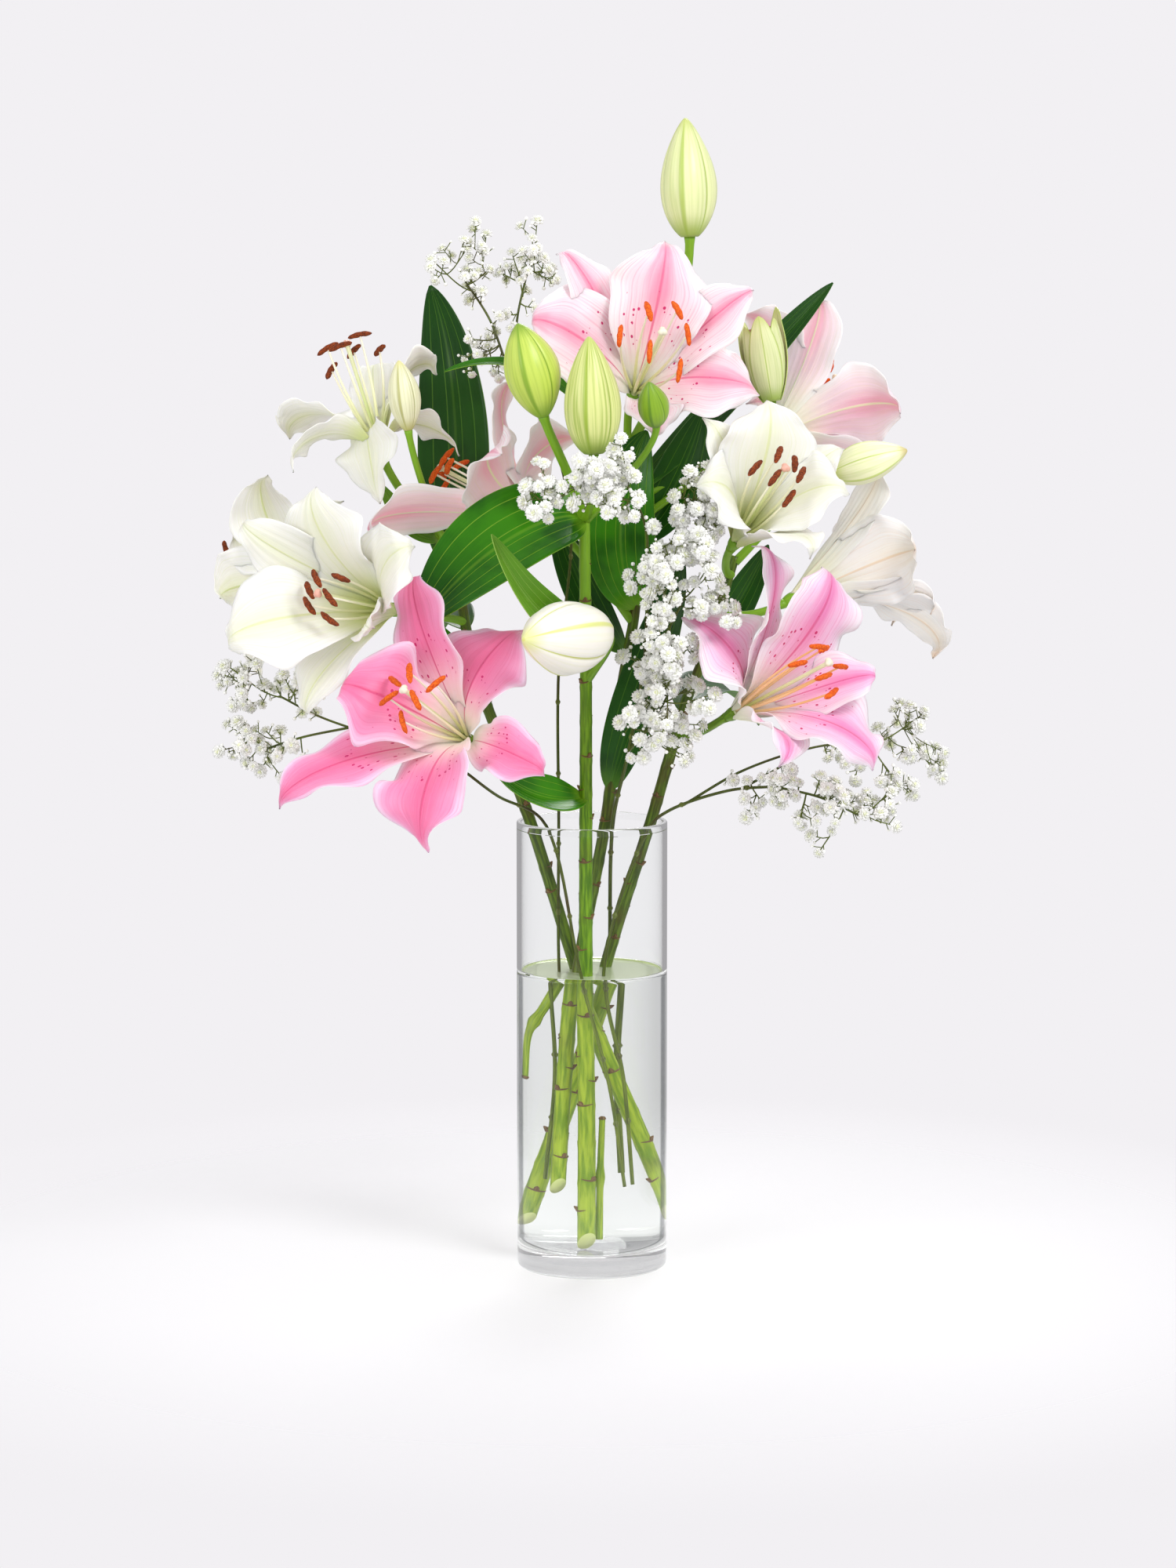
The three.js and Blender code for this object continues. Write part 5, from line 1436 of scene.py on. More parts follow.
# %% The table of stems
GREEN, OLD, SCAR, CUT, GLOSSY, DARK, LIGHT, UNDERSIDE = range(8)
STEM_FINISHES = [stem_green, stem_old, scar_brown, cut_pale, leaf_glossy, leaf_dark, leaf_light, leaf_under]
STEMS = [
    dict(name="stem_front", thick=5.2, thin=3.6, bark=GREEN,
         path=((-3, -18, 14.6), (-3, -19, 110), (-4, -20, 205), (-4, -22, 305), (-4, -27, 405),
               (-5, -30, 506)),
         pedicels=[
             dict(to="bud_fresh", start=(-5, -30, 500), by=(-12, -50, 530), radius=3),
             dict(to="bud_small", start=(-4, -30, 500), by=(14, -48, 520), radius=2.2),
             dict(to="bud_ribbed", start=(-5, -30, 502), by=(0, -60, 506)),
             dict(to="bud_cream", start=(-4, -27, 395), by=(8, -34, 412)),
         ],
         leaves=[
             dict(spine=((-5, -31, 503), (-30, -46, 509), (-78, -62, 482), (-112, -70, 434)),
                  width=66, face=(-0.4, -1, 0.6), look=GLOSSY),
             dict(spine=((-5, -22, 318), (-22, -42, 316), (-44, -56, 322), (-64, -60, 343)),
                  width=28, face=(0.1, -0.9, 0.8), fold=0.5, look=GLOSSY),
             dict(spine=((-4, -28, 428), (-18, -62, 426), (-44, -92, 446), (-64, -98, 496)),
                  width=26, face=(0.8, -1, 0.3), fold=0.6, look=LIGHT),
         ]),
    dict(name="stem_left", thick=4.5, thin=3.4, bark=OLD,
         path=((41, 8, 28), (15, 8, 114), (-11, 8, 200), (-41.5, 5, 300), (-60, 8, 350), (-78, 15, 400),
               (-92, 25, 478)),
         pedicels=[
             dict(to="white_left", start=(-84, 19, 430), by=(-95, 10, 435)),
             dict(to="white_back", start=(-88, 22, 450), by=(-120, 10, 452)),
             dict(to="white_side", start=(-92, 25, 475), by=(-112, 24, 495)),
             dict(to="pink_low_left", start=(-54, 7, 335), by=(-54, -15, 325)),
             dict(to="bud_slim", start=(-92, 25, 472), by=(-106, 6, 500), radius=2.2),
         ],
         leaves=[
             dict(spine=((-91, 24, 465), (-92, 80, 500), (-86, 100, 590), (-109, 92, 652)),
                  width=50, face=(-0.3, -1, 0.2), look=DARK),
             dict(spine=((-70, 12, 380), (-90, 25, 400), (-115, 20, 425), (-126, 5, 440)),
                  width=26, face=(0, -1, 0.5), look=GLOSSY),
             dict(spine=((-84, 18, 425), (-100, 50, 440), (-110, 90, 430), (-118, 118, 395)),
                  width=38, face=(-0.3, 0.4, 1), look=DARK),
             dict(spine=((-101, 24, 486), (-112, 8, 488), (-128, -2, 500), (-139, -6, 524)),
                  width=15, face=(0.1, -1, 0.3), look=LIGHT),
         ]),
    dict(name="stem_right", thick=4.5, thin=3.2, bark=OLD,
         path=((-32, 12, 24), (-10, 17, 113), (10, 18, 202), (40, 12, 300), (63, 15, 379), (73, 15, 404),
               (95, 20, 474)),
         pedicels=[
             dict(to="white_right", start=(92, 19, 462), by=(88, 5, 462)),
             dict(to="peach_right", start=(84, 18, 438), by=(95, 12, 432)),
             dict(to="pink_low_right", start=(58, 14, 358), by=(66, 0, 352)),
             dict(to="bud_side", start=(95, 20, 470), by=(120, 25, 495)),
         ],
         leaves=[
             dict(spine=((70, 15, 400), (85, 35, 420), (105, 45, 450), (118, 45, 480)),
                  width=24, face=(0, -1, 0.2), look=DARK),
             dict(spine=((60, 14, 370), (70, 50, 390), (95, 95, 385), (115, 125, 350)),
                  width=38, face=(0.2, -0.3, 1), look=DARK),
         ]),
    dict(name="stem_back", thick=4.5, thin=3.2, bark=OLD,
         path=((-19, -14, 52), (-15, -10, 126), (-9, -4, 200), (10, 20, 302), (19, 20, 380),
               (30, 22, 456), (22, 16, 548)),
         pedicels=[
             dict(to="pink_top", start=(23, 17, 542), by=(24, 26, 552)),
             dict(to="pink_turned", start=(27, 22, 430), by=(4, 12, 462)),
             dict(to="pink_right", start=(26, 20, 510), by=(60, 30, 528)),
             dict(to="bud_tall", start=(22, 17, 542), by=(60, 62, 600), radius=3),
             dict(to="bud_opening", start=(28, 21, 495), by=(80, 12, 535), radius=2.4),
         ],
         leaves=[
             dict(spine=((30, 20, 440), (14, -2, 470), (14, -8, 515), (36, -2, 558)),
                  width=46, face=(0, -1, 0.2), look=GLOSSY),
             dict(spine=((28, 20, 484), (50, 25, 502), (66, 25, 540), (74, 20, 572)),
                  width=34, face=(0, -1, 0.2), look=DARK),
             dict(spine=((12, 20, 318), (20, 4, 360), (46, 2, 420), (60, 4, 476)),
                  width=32, face=(0, -1, 0.2), look=DARK),
             dict(spine=((25, 18, 514), (70, 40, 552), (120, 52, 610), (160, 44, 654)),
                  width=24, face=(-0.5, -1, 0.4), look=DARK),
             dict(spine=((24, 17, 526), (0, 2, 590), (-50, -12, 616), (-96, -30, 597)),
                  width=12, face=(0.1, -0.8, 1), look=GLOSSY),
             dict(spine=((22, 20, 410), (0, 30, 430), (-16, 34, 470), (-26, 30, 505)),
                  width=26, face=(0, -1, 0.2), look=DARK),
             dict(spine=((29, 22, 454), (30, 70, 484), (20, 110, 490), (0, 140, 470)),
                  width=40, face=(0, -0.3, 1), look=DARK),
         ]),
]
print(len(STEMS), "stems with", sum(len(stem["leaves"]) for stem in STEMS), "leaves")

# %% [markdown]
# ## Leaves
#
# A lily leaf is a blade with a keel: its two halves rise from the midrib, its veins are pressed in, and its
# margins wave a little. A flat card with a picture of a leaf would do from afar, but the keel is what
# catches the light along the midrib, so it is real geometry.

# %% Leaf
LEAF_ROWS = 44
LEAF_COLUMNS = 25
LEAF_HALF_THICK = 0.3
KEEL_ROUND = 0.012
USUAL_FOLD = 0.3


def leaf_width(t):
    return (t + 0.003) ** 0.6 * (1.003 - t) ** 0.72 * 2.46


def add_leaf(growth, leaf, key):
    t, s = np.linspace(0, 1, LEAF_ROWS), np.linspace(-1, 1, LEAF_COLUMNS)
    places, ways = bezier(leaf["spine"], t)
    side = unit(np.cross(ways, np.array(leaf["face"], float)))
    face = np.cross(side, ways)
    half = np.maximum(0.5, leaf["width"] / 2 * leaf_width(t))[:, None]
    t2, s2 = t[:, None], s[None, :]
    keel = leaf.get("fold", USUAL_FOLD) * half * (np.sqrt(s2 * s2 + KEEL_ROUND) - 0.11)
    veins = 0.1 * np.cos(2 * np.pi * 4.5 * s2) * np.minimum(1, half / 8)
    waves = 1.1 * s2 ** 2 * np.sin(7 * t2 + 6 * draw(key) + 1.5 * np.sign(s2)) * np.sin(np.pi * t2)
    height = (keel + veins + waves)[..., None]
    sheet = places[:, None] + side[:, None] * (half * s2)[..., None] + face[:, None] * height
    skin = sheet_normals(sheet) * LEAF_HALF_THICK
    growth.blade(sheet + skin, sheet - skin, (s + 1) / 2, t, UNDERSIDE, leaf["look"])


print("faces in a leaf:", 2 * (LEAF_ROWS - 1) * (LEAF_COLUMNS - 1))

# %% [markdown]
# ## Pedicels
#
# A pedicel is the short green stalk between a stem and its bloom. It arrives in line with the bloom's axis,
# as it has grown, and swells where it meets the petals. Its curve is worked out from the bloom's own
# table, so it can't miss its foot.

# %% Pedicel
PEDICEL_RADIUS = 2.7
ARRIVAL = 16
SUNK = 0.4


def carried(name):
    """The foot of a bloom or bud, the direction it is reached in, and how far it extends back from there."""
    for bloom in BLOOMS:
        if bloom["name"] == name:
            return *foot_and_way(bloom), RECEPTACLE_BACK
    base, _, axis, _, _ = bud_frame(next(bud for bud in BUDS if bud["name"] == name))
    return base, axis, 0


def add_pedicel(growth, pedicel):
    base, axis, back = carried(pedicel["to"])
    end = base - axis * (back - SUNK)
    t = np.linspace(0, 1, 26)
    places, ways = bezier((pedicel["start"], pedicel["by"], end - axis * ARRIVAL, end), t)
    swell = 1 + 0.28 * np.exp(-((1 - t) / 0.06) ** 2) + 0.15 * np.exp(-(t / 0.12) ** 2)
    growth.tube(places, pedicel.get("radius", PEDICEL_RADIUS) * swell, 14, GREEN, ways=ways)


print("pedicels:", sum(len(stem["pedicels"]) for stem in STEMS))

# %% [markdown]
# ## Stems with leaf scars
#
# Most of its leaves were stripped off each stem. Where one sat, there is a slight swelling, a brown
# crescent, and a small nub above it. A texture could show the crescents, but seen against the light in the
# water it is their outline that tells, so they are small tubes. The foot is cut at a slant.

# %% Leaf scars
SCAR_GAP = 15
FIRST_SCAR = 22


def add_scar(growth, centre, way, out, radius):
    """A crescent under a fallen leaf, with the nub of its bud above it."""
    across = np.cross(way, out)
    angles = np.linspace(-1.5, 1.5, 15)
    line = centre + (radius * np.cos(angles))[:, None] * out + (radius * np.sin(angles))[:, None] * across
    line = line + (1.3 * (1 - np.cos(angles)))[:, None] * way
    growth.tube(line, 0.16 + 0.52 * np.cos(angles), 6, SCAR)
    w = np.linspace(0, 1, 6)
    foot = centre + out * (radius - 0.9) + way * 0.8
    nub = foot + out * (w * 2.6)[:, None] + way * (w * 2.2)[:, None]
    growth.tube(nub, 1.7 * (1 - 0.8 * w ** 1.5), 8, SCAR)


def scar_places(length, seed):
    """How far up the stem the scars are: one to two gaps apart."""
    scars, at = [], FIRST_SCAR + 8 * draw(seed)
    while at < length - 14:
        scars.append(at)
        at += SCAR_GAP + SCAR_GAP * draw(seed + at)
    return scars


print("scars on a stem of 300 mm:", len(scar_places(300, 3.1)))

# %% Stem
STEM_RINGS = 170
STEM_SIDES = 22
CUT_SLANT = 1.25
CUT_TOWARDS = (0.35, -1.0, 0.0)


def slanted(sheet, ring, ways, along, thick):
    """Pulls one side of the stem's foot up, so that its end is an oblique cut."""
    toward = square_to(np.array(CUT_TOWARDS), ways[0])
    slant = np.maximum(0, (ring @ toward) + 1) * thick * CUT_SLANT
    fade = np.clip(1 - along / (thick * 4.5), 0, 1)
    return sheet + (slant * fade[:, None])[..., None] * ways[:, None]


def add_stem(growth, stem, seed):
    places = through(stem["path"], np.linspace(0, 1, STEM_RINGS) ** 1.15)
    ways, along = directions(places), distances(places)
    radii = mix(stem["thick"], stem["thin"], np.linspace(0, 1, STEM_RINGS) ** 1.15)
    scars = scar_places(along[-1], seed)
    for scar in scars:
        radii = radii + 0.3 * np.exp(-((along - scar) / 2.2) ** 2)
    side, normal = frames(ways)
    ring = spokes(side, normal, circle(STEM_SIDES))
    sheet = slanted(places[:, None] + radii[:, None, None] * ring, ring, ways, along, stem["thick"])
    growth.grid(sheet, np.linspace(0, 1, STEM_SIDES + 1), along, stem["bark"], closed=True)
    growth.finishes[-2] = CUT  # the cap at the foot
    for k, scar in enumerate(scars):
        i = int(np.searchsorted(along, scar))
        angle = 2.4 * k + seed
        out = side[i] * math.cos(angle) + normal[i] * math.sin(angle)
        add_scar(growth, places[i], ways[i], out, radii[i])


print("a stem's cut rises by up to", 2 * CUT_SLANT, "times its radius")

# %% [markdown]
# ## Side shoots, and the whole stem
#
# Under water two short side shoots can be seen through the glass, one of them bent and cut back. They are
# part of their stem, like its pedicels and leaves, so all of that goes into one mesh with eight finishes.

# %% Leafy stems
SHOOTS = {
    "stem_front": dict(path=((4, -15, 22), (4.4, -14, 62), (5.6, -13, 104)), thick=4.2),
    "stem_left": dict(path=((-14, 2, 197), (-24, 0, 176), (-34, -3, 158), (-37, -4, 128)), thick=6.0),
}


def add_shoot(growth, shoot):
    """A side shoot that was cut back: a short bent tube, swollen at its joint, with a brown end."""
    w = np.linspace(0, 1, 24)
    places = through(shoot["path"], w)
    radii = shoot["thick"] / 2 * (1 - 0.2 * w) * (1 + 0.5 * np.exp(-((w - 0.52) / 0.06) ** 2))
    growth.tube(places, radii, 12, OLD)
    way = directions(places)[-1]
    collar = radii[-1] * np.array([1.0, 1.25, 1.2, 1.0, 0.6])
    growth.tube(places[-1] + np.outer(np.linspace(-1.5, 0.8, 5), way), collar, 12, SCAR, ways=way)


for number, stem in enumerate(STEMS):
    growth = Growth()
    add_stem(growth, stem, 3.1 + number * 7)
    if stem["name"] in SHOOTS:
        add_shoot(growth, SHOOTS[stem["name"]])
    for pedicel in stem["pedicels"]:
        add_pedicel(growth, pedicel)
    for k, leaf in enumerate(stem["leaves"]):
        add_leaf(growth, leaf, number * 10 + k)
    growth.finish_as("leafy_" + stem["name"], STEM_FINISHES, stem["name"])
    obstacles.append(growth.cloud())

# %% [markdown]
# ## Gypsophila: the sprays
#
# Gypsophila is all forks: wiry stems divide again and again and end in tiny double flowers and round
# buds. The table gives each spray's stem (path), its boughs, and its heads, the rounded clouds of
# flowers, each with its middle and its size. Width is that of a flower, per_head how many flowers there
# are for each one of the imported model, clump how many sit together, and closeness how near two of them may
# come, where 1 means that they touch.

# %% The table of sprays
SPRAYS = [
    dict(name="gypsophila_top_left", seed=101, thick=1.1, width=7.8, per_head=5.2, clump=2, closeness=0.92,
         path=((-24, -2, 60), (-18, 4, 130), (-22, -4, 205), (-22, -6, 300), (-22, -8, 400),
               (-14, -8, 500), (-34, 4, 575), (-58, 36, 604)),
         boughs=[
             ((-58, 36, 604), (-68, 42, 630), (-84, 42, 655)),
             ((-46, 20, 588), (-50, 36, 625), (-42, 44, 665)),
         ],
         heads=[
             dict(at=(-88, 42, 662), size=(24, 18, 26), count=5),
             dict(at=(-45, 44, 668), size=(24, 18, 24), count=5),
             dict(at=(-62, 42, 610), size=(20, 16, 26), count=4),
         ]),
    dict(name="gypsophila_left", seed=202, thick=1.1, width=8.8, per_head=5.0, clump=2, closeness=0.96,
         path=((20, -32, 60), (10, -33, 130), (-8, -34, 205), (-32, -22, 302), (-62, -30, 320),
               (-100, -25, 346), (-147, -22, 360)),
         boughs=[
             ((-147, -22, 360), (-180, -22, 372), (-205, -22, 385)),
             ((-160, -22, 364), (-190, -24, 358), (-215, -24, 350)),
         ],
         heads=[
             dict(at=(-215, -20, 392), size=(34, 20, 26), count=7),
             dict(at=(-218, -24, 352), size=(32, 18, 22), count=5),
         ]),
    dict(name="gypsophila_middle", seed=303, thick=1.4, width=10.0, per_head=7.5, clump=4, closeness=0.78,
         path=((12, 28, 60), (10, 30, 130), (12, 32, 205), (14, -6, 300), (24, -34, 350), (34, -44, 410),
               (36, -50, 460)),
         boughs=[
             ((24, -34, 350), (40, -50, 372), (52, -62, 395)),
             ((34, -44, 410), (48, -62, 430), (60, -72, 455)),
             ((36, -50, 460), (34, -60, 500), (20, -66, 530)),
             ((36, -50, 460), (52, -62, 490), (62, -72, 520)),
         ],
         heads=[
             dict(at=(48, -66, 385), size=(34, 24, 46), count=9),
             dict(at=(52, -74, 450), size=(36, 26, 34), count=8),
             dict(at=(4, -116, 532), size=(46, 12, 24), count=8),
             dict(at=(58, -78, 505), size=(26, 20, 36), count=6),
         ]),
    dict(name="gypsophila_right", seed=404, thick=1.2, width=8.8, per_head=6.4, clump=3, closeness=0.9,
         path=((24, -24, 60), (18, -20, 130), (8, -22, 205), (38, -14, 297), (50, -16, 308),
               (90, -18, 322), (120, -20, 325)),
         boughs=[
             ((60, -16, 312), (100, -14, 335), (150, -6, 350), (190, 0, 352)),
             ((120, -20, 325), (150, -22, 318), (178, -22, 305)),
             ((100, -18, 324), (125, -14, 338), (140, -10, 350)),
         ],
         heads=[
             dict(at=(195, 0, 352), size=(42, 26, 34), count=7),
             dict(at=(165, -24, 312), size=(38, 24, 22), count=5),
             dict(at=(120, -30, 325), size=(34, 18, 18), count=4),
         ]),
]
print(len(SPRAYS), "sprays with", sum(len(spray["heads"]) for spray in SPRAYS), "heads")

# %% [markdown]
# ## A double flower
#
# A floret is a tiny pompon, six to eleven millimetres across: five rings of ragged petals that stand out
# all over a round heart, on a green cup. Copies of one flower would show at once, so there are three,
# folded with different draws, and each copy is turned its own way. Its petals are blades of four by four
# points, which is enough at that size. The table of rings gives the number of petals, their tilt in
# degrees and their length.

# %% Floret
PETALS, CALYX, TWIG, WIRY = range(4)
UP = np.array([0, 0, 1.0])
FLORET_RINGS = ((3, 10, 0.4), (5, 32, 0.56), (7, 54, 0.68), (8, 76, 0.74), (7, 100, 0.7))
PETAL_BREADTHS = 0.3 * np.array([0.4, 0.8, 1.0, 0.85])[:, None]
HEART_RADIUS = 0.32
FLORET_SKIN = np.array([0, 0, 0.02])


def add_floret_petal(growth, seed, spin, tilt, length):
    """A small cupped petal that leaves the heart at a tilt from the flower's axis."""
    w, s = np.linspace(0, 1, 4)[:, None], np.linspace(-1, 1, 4)[None]
    polar = math.radians(tilt + 12 * (draw(seed + 0.3) - 0.5))
    lift = math.radians(tilt + 26 + 20 * (draw(seed + 0.6) - 0.5))
    reach = length * (0.86 + 0.28 * draw(seed + 0.8)) * w * (1 - 0.1 * (1 - np.abs(s)) * w)
    dish = 0.12 * s ** 2 * w + 0.05 * np.sin(4 * s + 6 * draw(seed)) * w
    breadth = PETAL_BREADTHS * s
    x = HEART_RADIUS * math.sin(polar) + reach * math.sin(lift) - dish * math.cos(lift)
    z = HEART_RADIUS * math.cos(polar) + reach * math.cos(lift) + dish * math.sin(lift)
    sheet = np.stack([x * math.cos(spin) - breadth * math.sin(spin),
                      x * math.sin(spin) + breadth * math.cos(spin), z], -1)
    growth.blade(sheet + FLORET_SKIN, sheet - FLORET_SKIN, (s[0] + 1) / 2, w[:, 0], PETALS, PETALS)


def floret_model(key):
    """A double flower of about unit radius, standing on Z."""
    growth = Growth()
    w = np.linspace(0, 1, 8)
    growth.tube(np.outer(w * 1.1 - 0.55, UP), 0.06 + 0.42 * np.sin(np.pi * w) ** 0.7, 10, PETALS, UP, v=w * 0)
    for ring, (count, tilt, length) in enumerate(FLORET_RINGS):
        for k in range(count):
            seed = key + 10 * ring + k
            spin = 2 * math.pi * (k + 0.4 * ring + 0.3 * draw(seed)) / count
            add_floret_petal(growth, seed, spin, tilt, length)
    w = np.linspace(0, 1, 4)
    growth.tube(np.outer(w * 0.62 - 0.55, UP), 0.12 + 0.24 * w, 8, CALYX, UP)
    return growth


def bud_model():
    growth = Growth()
    w = np.linspace(0, 1, 7)
    growth.tube(np.outer(w * 2 - 1.0, UP), 0.08 + 0.9 * np.sin(np.pi * w) ** 0.8, 8, PETALS, UP)
    return growth


floret_models = [floret_model(key) for key in (1.3, 27.9, 55.1)]
round_bud = bud_model()
print("faces in a floret:", len(floret_models[0].faces))

# %% [markdown]
# ## Gypsophila finishes
#
# The flowers are a clean white, a little yellow-green in the middle. The twigs are dull green and brown, and
# a spray's long stem looks greener again under water, so the stem finish serves once more.


# %% Gypsophila materials
def floret_finish():
    made = Finish("gypsophila_petal", roughness=0.8)
    pair, _, v = made.uv()
    body = made.mix(made.ramp(made.streaks(pair, 30, 3), 0.3, 0.8), tint(255, 255, 253), tint(246, 247, 240))
    made.colour(made.mix(made.ramp(v, 0.0, 0.4, 0.8, 0.0), body, tint(226, 232, 176)))
    return made.material


SPRAY_FINISHES = [
    floret_finish(),
    stem_finish("calyx_green", (150, 176, 92), (104, 136, 60), (130, 110, 70), 0.4),
    stem_finish("twig_green", (118, 130, 50), (76, 90, 32), (76, 54, 34), 0.6),
    stem_finish("wiry_stem", (92, 108, 34), (60, 70, 22), (66, 46, 26), 0.7, ((76, 96, 16), (118, 134, 40))),
]
print("gypsophila finishes:", len(SPRAY_FINISHES))

# %% [markdown]
# ## Room to grow
#
# The sprays come last and have to find their way between petals, buds and leaves. Testing each new twig
# against every face would be slow. A tree of all the points so far answers how near the closest one is, in
# a moment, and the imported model's box keeps the flowers within the reach of the real thing.

# %% What is in the way
tree_points = np.vstack(obstacles)
tree = kdtree.KDTree(len(tree_points))
for i, point in enumerate(tree_points):
    tree.insert(point, i)
tree.balance()
box_low, box_high = (np.array(corner) / MM for corner in cad_box)


def room_at(place):
    """How far a place is from the closest petal, bud, stem or leaf."""
    return tree.find(place)[2]


print("points to keep clear of:", len(tree_points))

# %% [markdown]
# ## Growing a head of flowers
#
# Each flower gets a seeded place near its clump, in a head's rounded cloud. It stays there only if the
# place is free and a twig can reach it from the nearest fork, without passing too close to anything.
# Each new twig then offers two more forks. After eight tries, the whole clump moves. That is slower than
# scattering flowers with particles, but no flower floats and no twig goes through a petal.

# %% Twigs and the places of flowers
TRIES = 16
TRIES_PER_CLUMP = 8
CLOUD_SPREAD = 1.12
CLUMP_REACH = 2.6
TWIG_SHORTEST = 4
TWIG_LONGEST = 46
TWIG_ROOM = 1.2
FORKS_PER_TWIG = 2
DEPTH_COST = 5


def in_ball(key):
    """A seeded place in a ball of radius 1, oftener near its surface."""
    azimuth, height = 2 * math.pi * draw(key), mix(-1, 1, draw(key + 0.11))
    flat = math.sqrt(1 - height * height)
    return np.array([flat * math.cos(azimuth), flat * math.sin(azimuth), height]) * draw(key + 0.23) ** 0.45


def is_free(place, size, florets, closeness):
    if np.any(place - size < box_low) or np.any(place + size > box_high):
        return False
    for other, _, its_size, _ in florets:
        if np.linalg.norm(place - other) < (size + its_size) * closeness:
            return False
    return room_at(place) >= size * 0.8 + 1


def twig_to(place, forks):
    """The nearest free fork and a sagging line from there, or nothing where no twig can grow."""
    free = [fork for fork in forks if fork["free"] > 0]
    fork = min(free, key=lambda one: np.linalg.norm(one["at"] - place) + DEPTH_COST * one["depth"])
    length = np.linalg.norm(fork["at"] - place)
    if length < TWIG_SHORTEST or length > TWIG_LONGEST:
        return None
    w = np.linspace(0, 1, max(4, int(length / 3)))
    sag = UP * length * 0.12 * (np.sin(np.pi * w) * (1 - w))[:, None]
    line = fork["at"] + w[:, None] * (place - fork["at"]) - sag
    return (fork, line) if min(room_at(point) for point in line[1:]) >= TWIG_ROOM else None


print("a twig is", TWIG_SHORTEST, "to", TWIG_LONGEST, "mm long")


# %% Growing a spray
def flower_place(spray, head, seed, k, attempt):
    """Where the k-th flower of a head would go at an attempt, its size, and its key for more draws."""
    key = seed + k * 17 + attempt * 0.37
    clump = seed + (k // spray["clump"]) * 61 + (attempt // TRIES_PER_CLUMP) * 0.7
    size = spray["width"] / 2 * (0.75 + 0.4 * draw(key + 0.5))
    middle = np.array(head["at"], float) + in_ball(clump) * np.array(head["size"], float) * CLOUD_SPREAD
    return middle + in_ball(key) * size * CLUMP_REACH, size, key


def grow_flower(spray, head, seed, k, forks, twigs, florets):
    """Adds the k-th flower of a head and its twig, unless no attempt finds a place for it."""
    for attempt in range(TRIES):
        place, size, key = flower_place(spray, head, seed, k, attempt)
        found = is_free(place, size, florets, spray["closeness"]) and twig_to(place, forks)
        if found:
            fork, line = found
            fork["free"] -= 1
            depth = fork["depth"] + 1
            florets.append((place, unit(line[-1] - line[-2]), size, key))
            twigs.append((line, depth))
            for share in (0.35, 0.6):
                joint = line[int(share * (len(line) - 1))]
                forks.append(dict(at=joint, free=FORKS_PER_TWIG, depth=depth))
            return


def grow_spray(spray):
    """The boughs of a spray, the twigs with how far each is from its bough, and the florets."""
    boughs = [through(path, np.linspace(0, 1, 24)) for path in spray["boughs"]]
    forks = [dict(at=point, free=FORKS_PER_TWIG, depth=0) for bough in boughs for point in bough[2::2]]
    twigs, florets = [], []
    for h, head in enumerate(spray["heads"]):
        for k in range(int(head["count"] * spray["per_head"])):
            grow_flower(spray, head, spray["seed"] + h * 1000, k, forks, twigs, florets)
    return boughs, twigs, florets


print("attempts for each flower:", TRIES)

# %% [markdown]
# ## Dressing the sprays
#
# Each spray is one piece: its long stem with small swollen joints, its boughs, its twigs, and on each
# twig a flower and up to two round buds on hair-fine stalks. Instances would save memory, but a piece
# that rides on the part has to be one mesh, so the small models are copied into it.

# %% Parts of a spray
FIRST_JOINT = 38
JOINT_GAP = 46


def turned_copy(growth, model, at, axis, size, spin):
    """Adds a copy of a small model at a place, turned so that its Z follows axis."""
    hint = np.array([1.0, 0, 0]) if abs(axis[0]) < 0.8 else np.array([0, 1.0, 0])
    side = square_to(hint, axis)
    normal = np.cross(axis, side)
    c, s = math.cos(spin), math.sin(spin)
    matrix = np.stack([side * c + normal * s, normal * c - side * s, axis])
    growth.add(model.cloud() @ matrix * size + at, model.faces, model.corners, model.finishes)


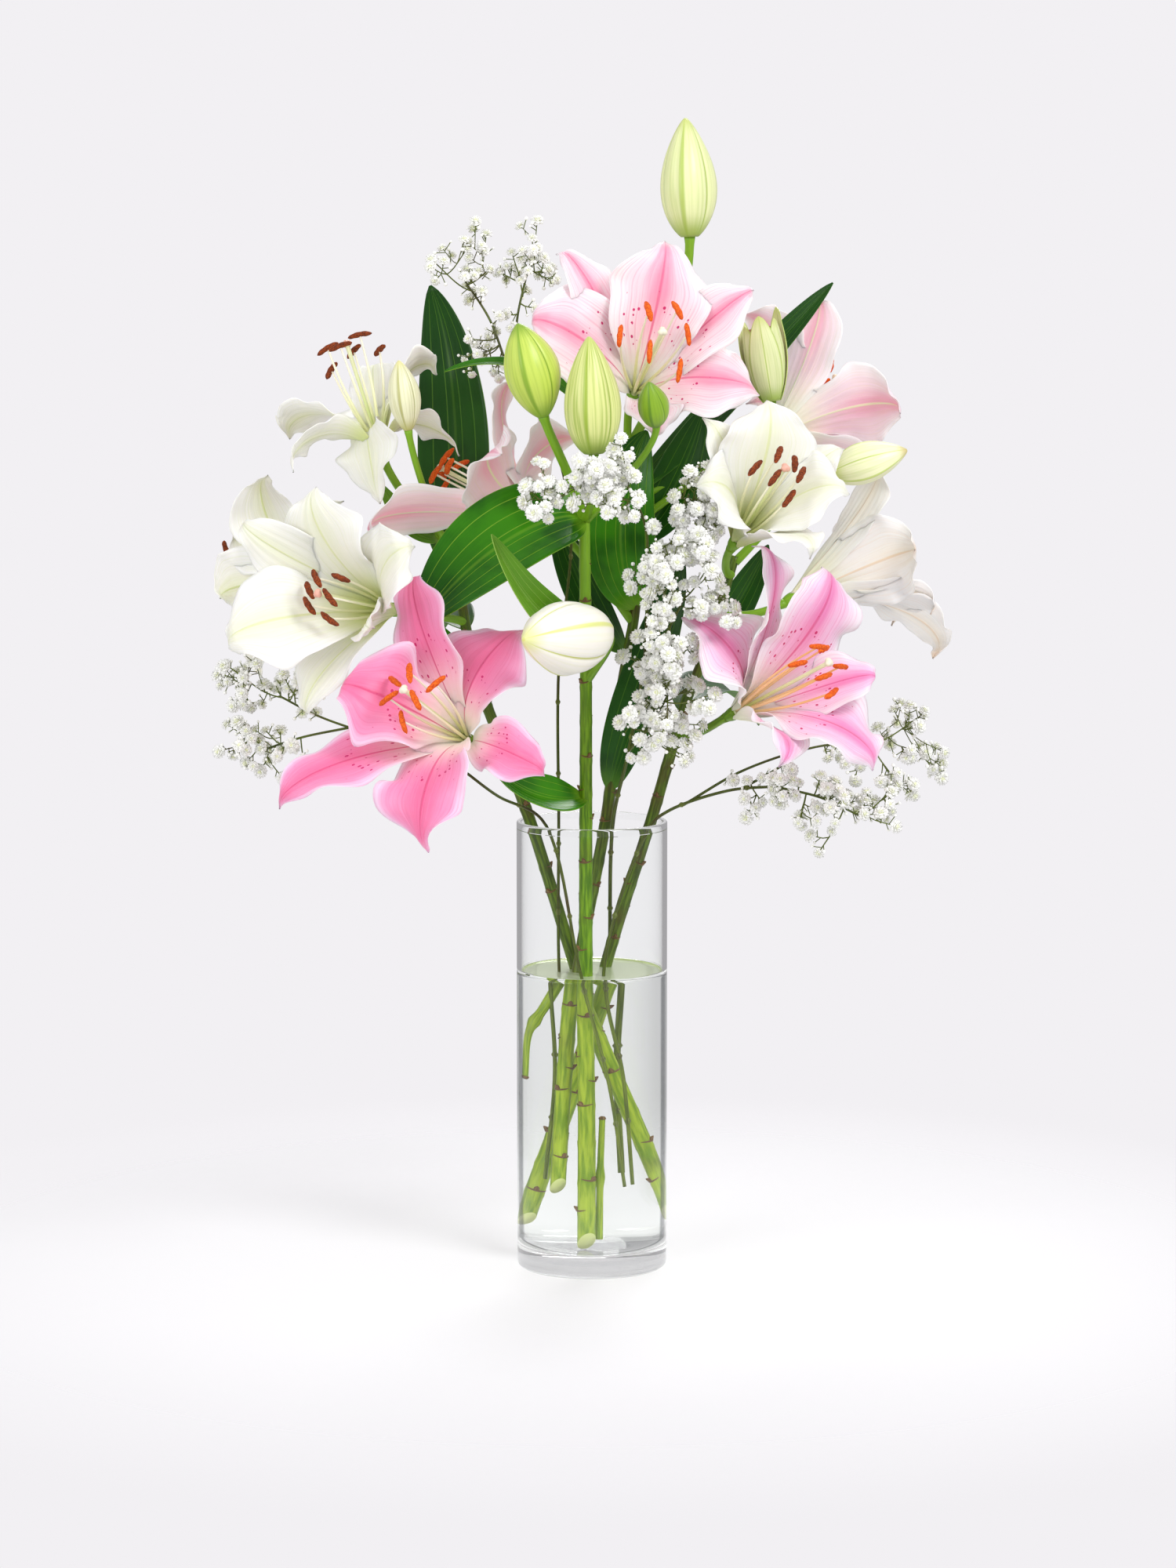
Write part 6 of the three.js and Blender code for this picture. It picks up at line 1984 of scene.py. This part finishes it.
def add_wiry_stem(growth, spray):
    """The long stem, with its small swollen joints."""
    t = np.linspace(0, 1, 60)
    places = through(spray["path"], t)
    ways, along = directions(places), distances(places)
    radii = spray["thick"] * (1.05 - 0.25 * t)
    growth.tube(places, radii, 9, WIRY)
    swell = np.linspace(-2, 2, 7)
    for joint in np.arange(FIRST_JOINT, along[-1] - 10, JOINT_GAP):
        i = int(np.searchsorted(along, joint))
        bulge = radii[i] + 0.75 * np.exp(-(swell / 1.1) ** 2)
        growth.tube(places[i] + swell[:, None] * ways[i], bulge, 9, TWIG, ways=ways[i])


def add_round_buds(growth, place, way, size, key):
    """Up to two round buds on hair-fine stalks, below a flower."""
    for b in range(2):
        side = square_to(np.array([draw(key + 4 + b) - 0.5, draw(key + 5 + b) - 0.5, 0.6 - b]), way)
        foot = place - way * size * (1.1 + 0.5 * b)
        end = foot + side * mix(4.0, 7.5, draw(key + 7 + b)) + way * 2.5
        if room_at(end) > 2 and np.all(end > box_low + 2) and np.all(end < box_high - 2):
            growth.tube(foot + np.linspace(0, 1, 4)[:, None] * (end - foot), 0.34, 5, TWIG)
            turned_copy(growth, round_bud, end, unit(side + way), mix(0.9, 1.5, draw(key + 9 + b)), 0)


print("faces in a round bud:", len(round_bud.faces))

# %% Sprays
TOWARDS_LIGHT = np.array([0, -0.5, 0.35])

for spray in SPRAYS:
    growth = Growth()
    add_wiry_stem(growth, spray)
    boughs, twigs, florets = grow_spray(spray)
    for bough in boughs:
        growth.tube(bough, mix(spray["thick"] * 0.8, 0.7, np.linspace(0, 1, len(bough))), 8, WIRY)
    for line, depth in twigs:
        radius = max(0.34, 0.62 - 0.09 * depth)
        growth.tube(line, np.linspace(radius, radius * 0.8, len(line)), 6, TWIG)
    for n, (place, way, size, key) in enumerate(florets):
        spin = 6.28 * draw(key + 2)
        turned_copy(growth, floret_models[n % 3], place, unit(way + TOWARDS_LIGHT), size, spin)
        add_round_buds(growth, place, way, size, key)
    growth.finish_as("spray_" + spray["name"], SPRAY_FINISHES, spray["name"])
    print("  florets:", len(florets))

# %% [markdown]
# ## Finish
#
# The imported model's box is printed. The dressed part must not be larger than the imported one.

# %% Size and finish
print("packed:", [[round(v, 4) for v in corner] for corner in cad_box])
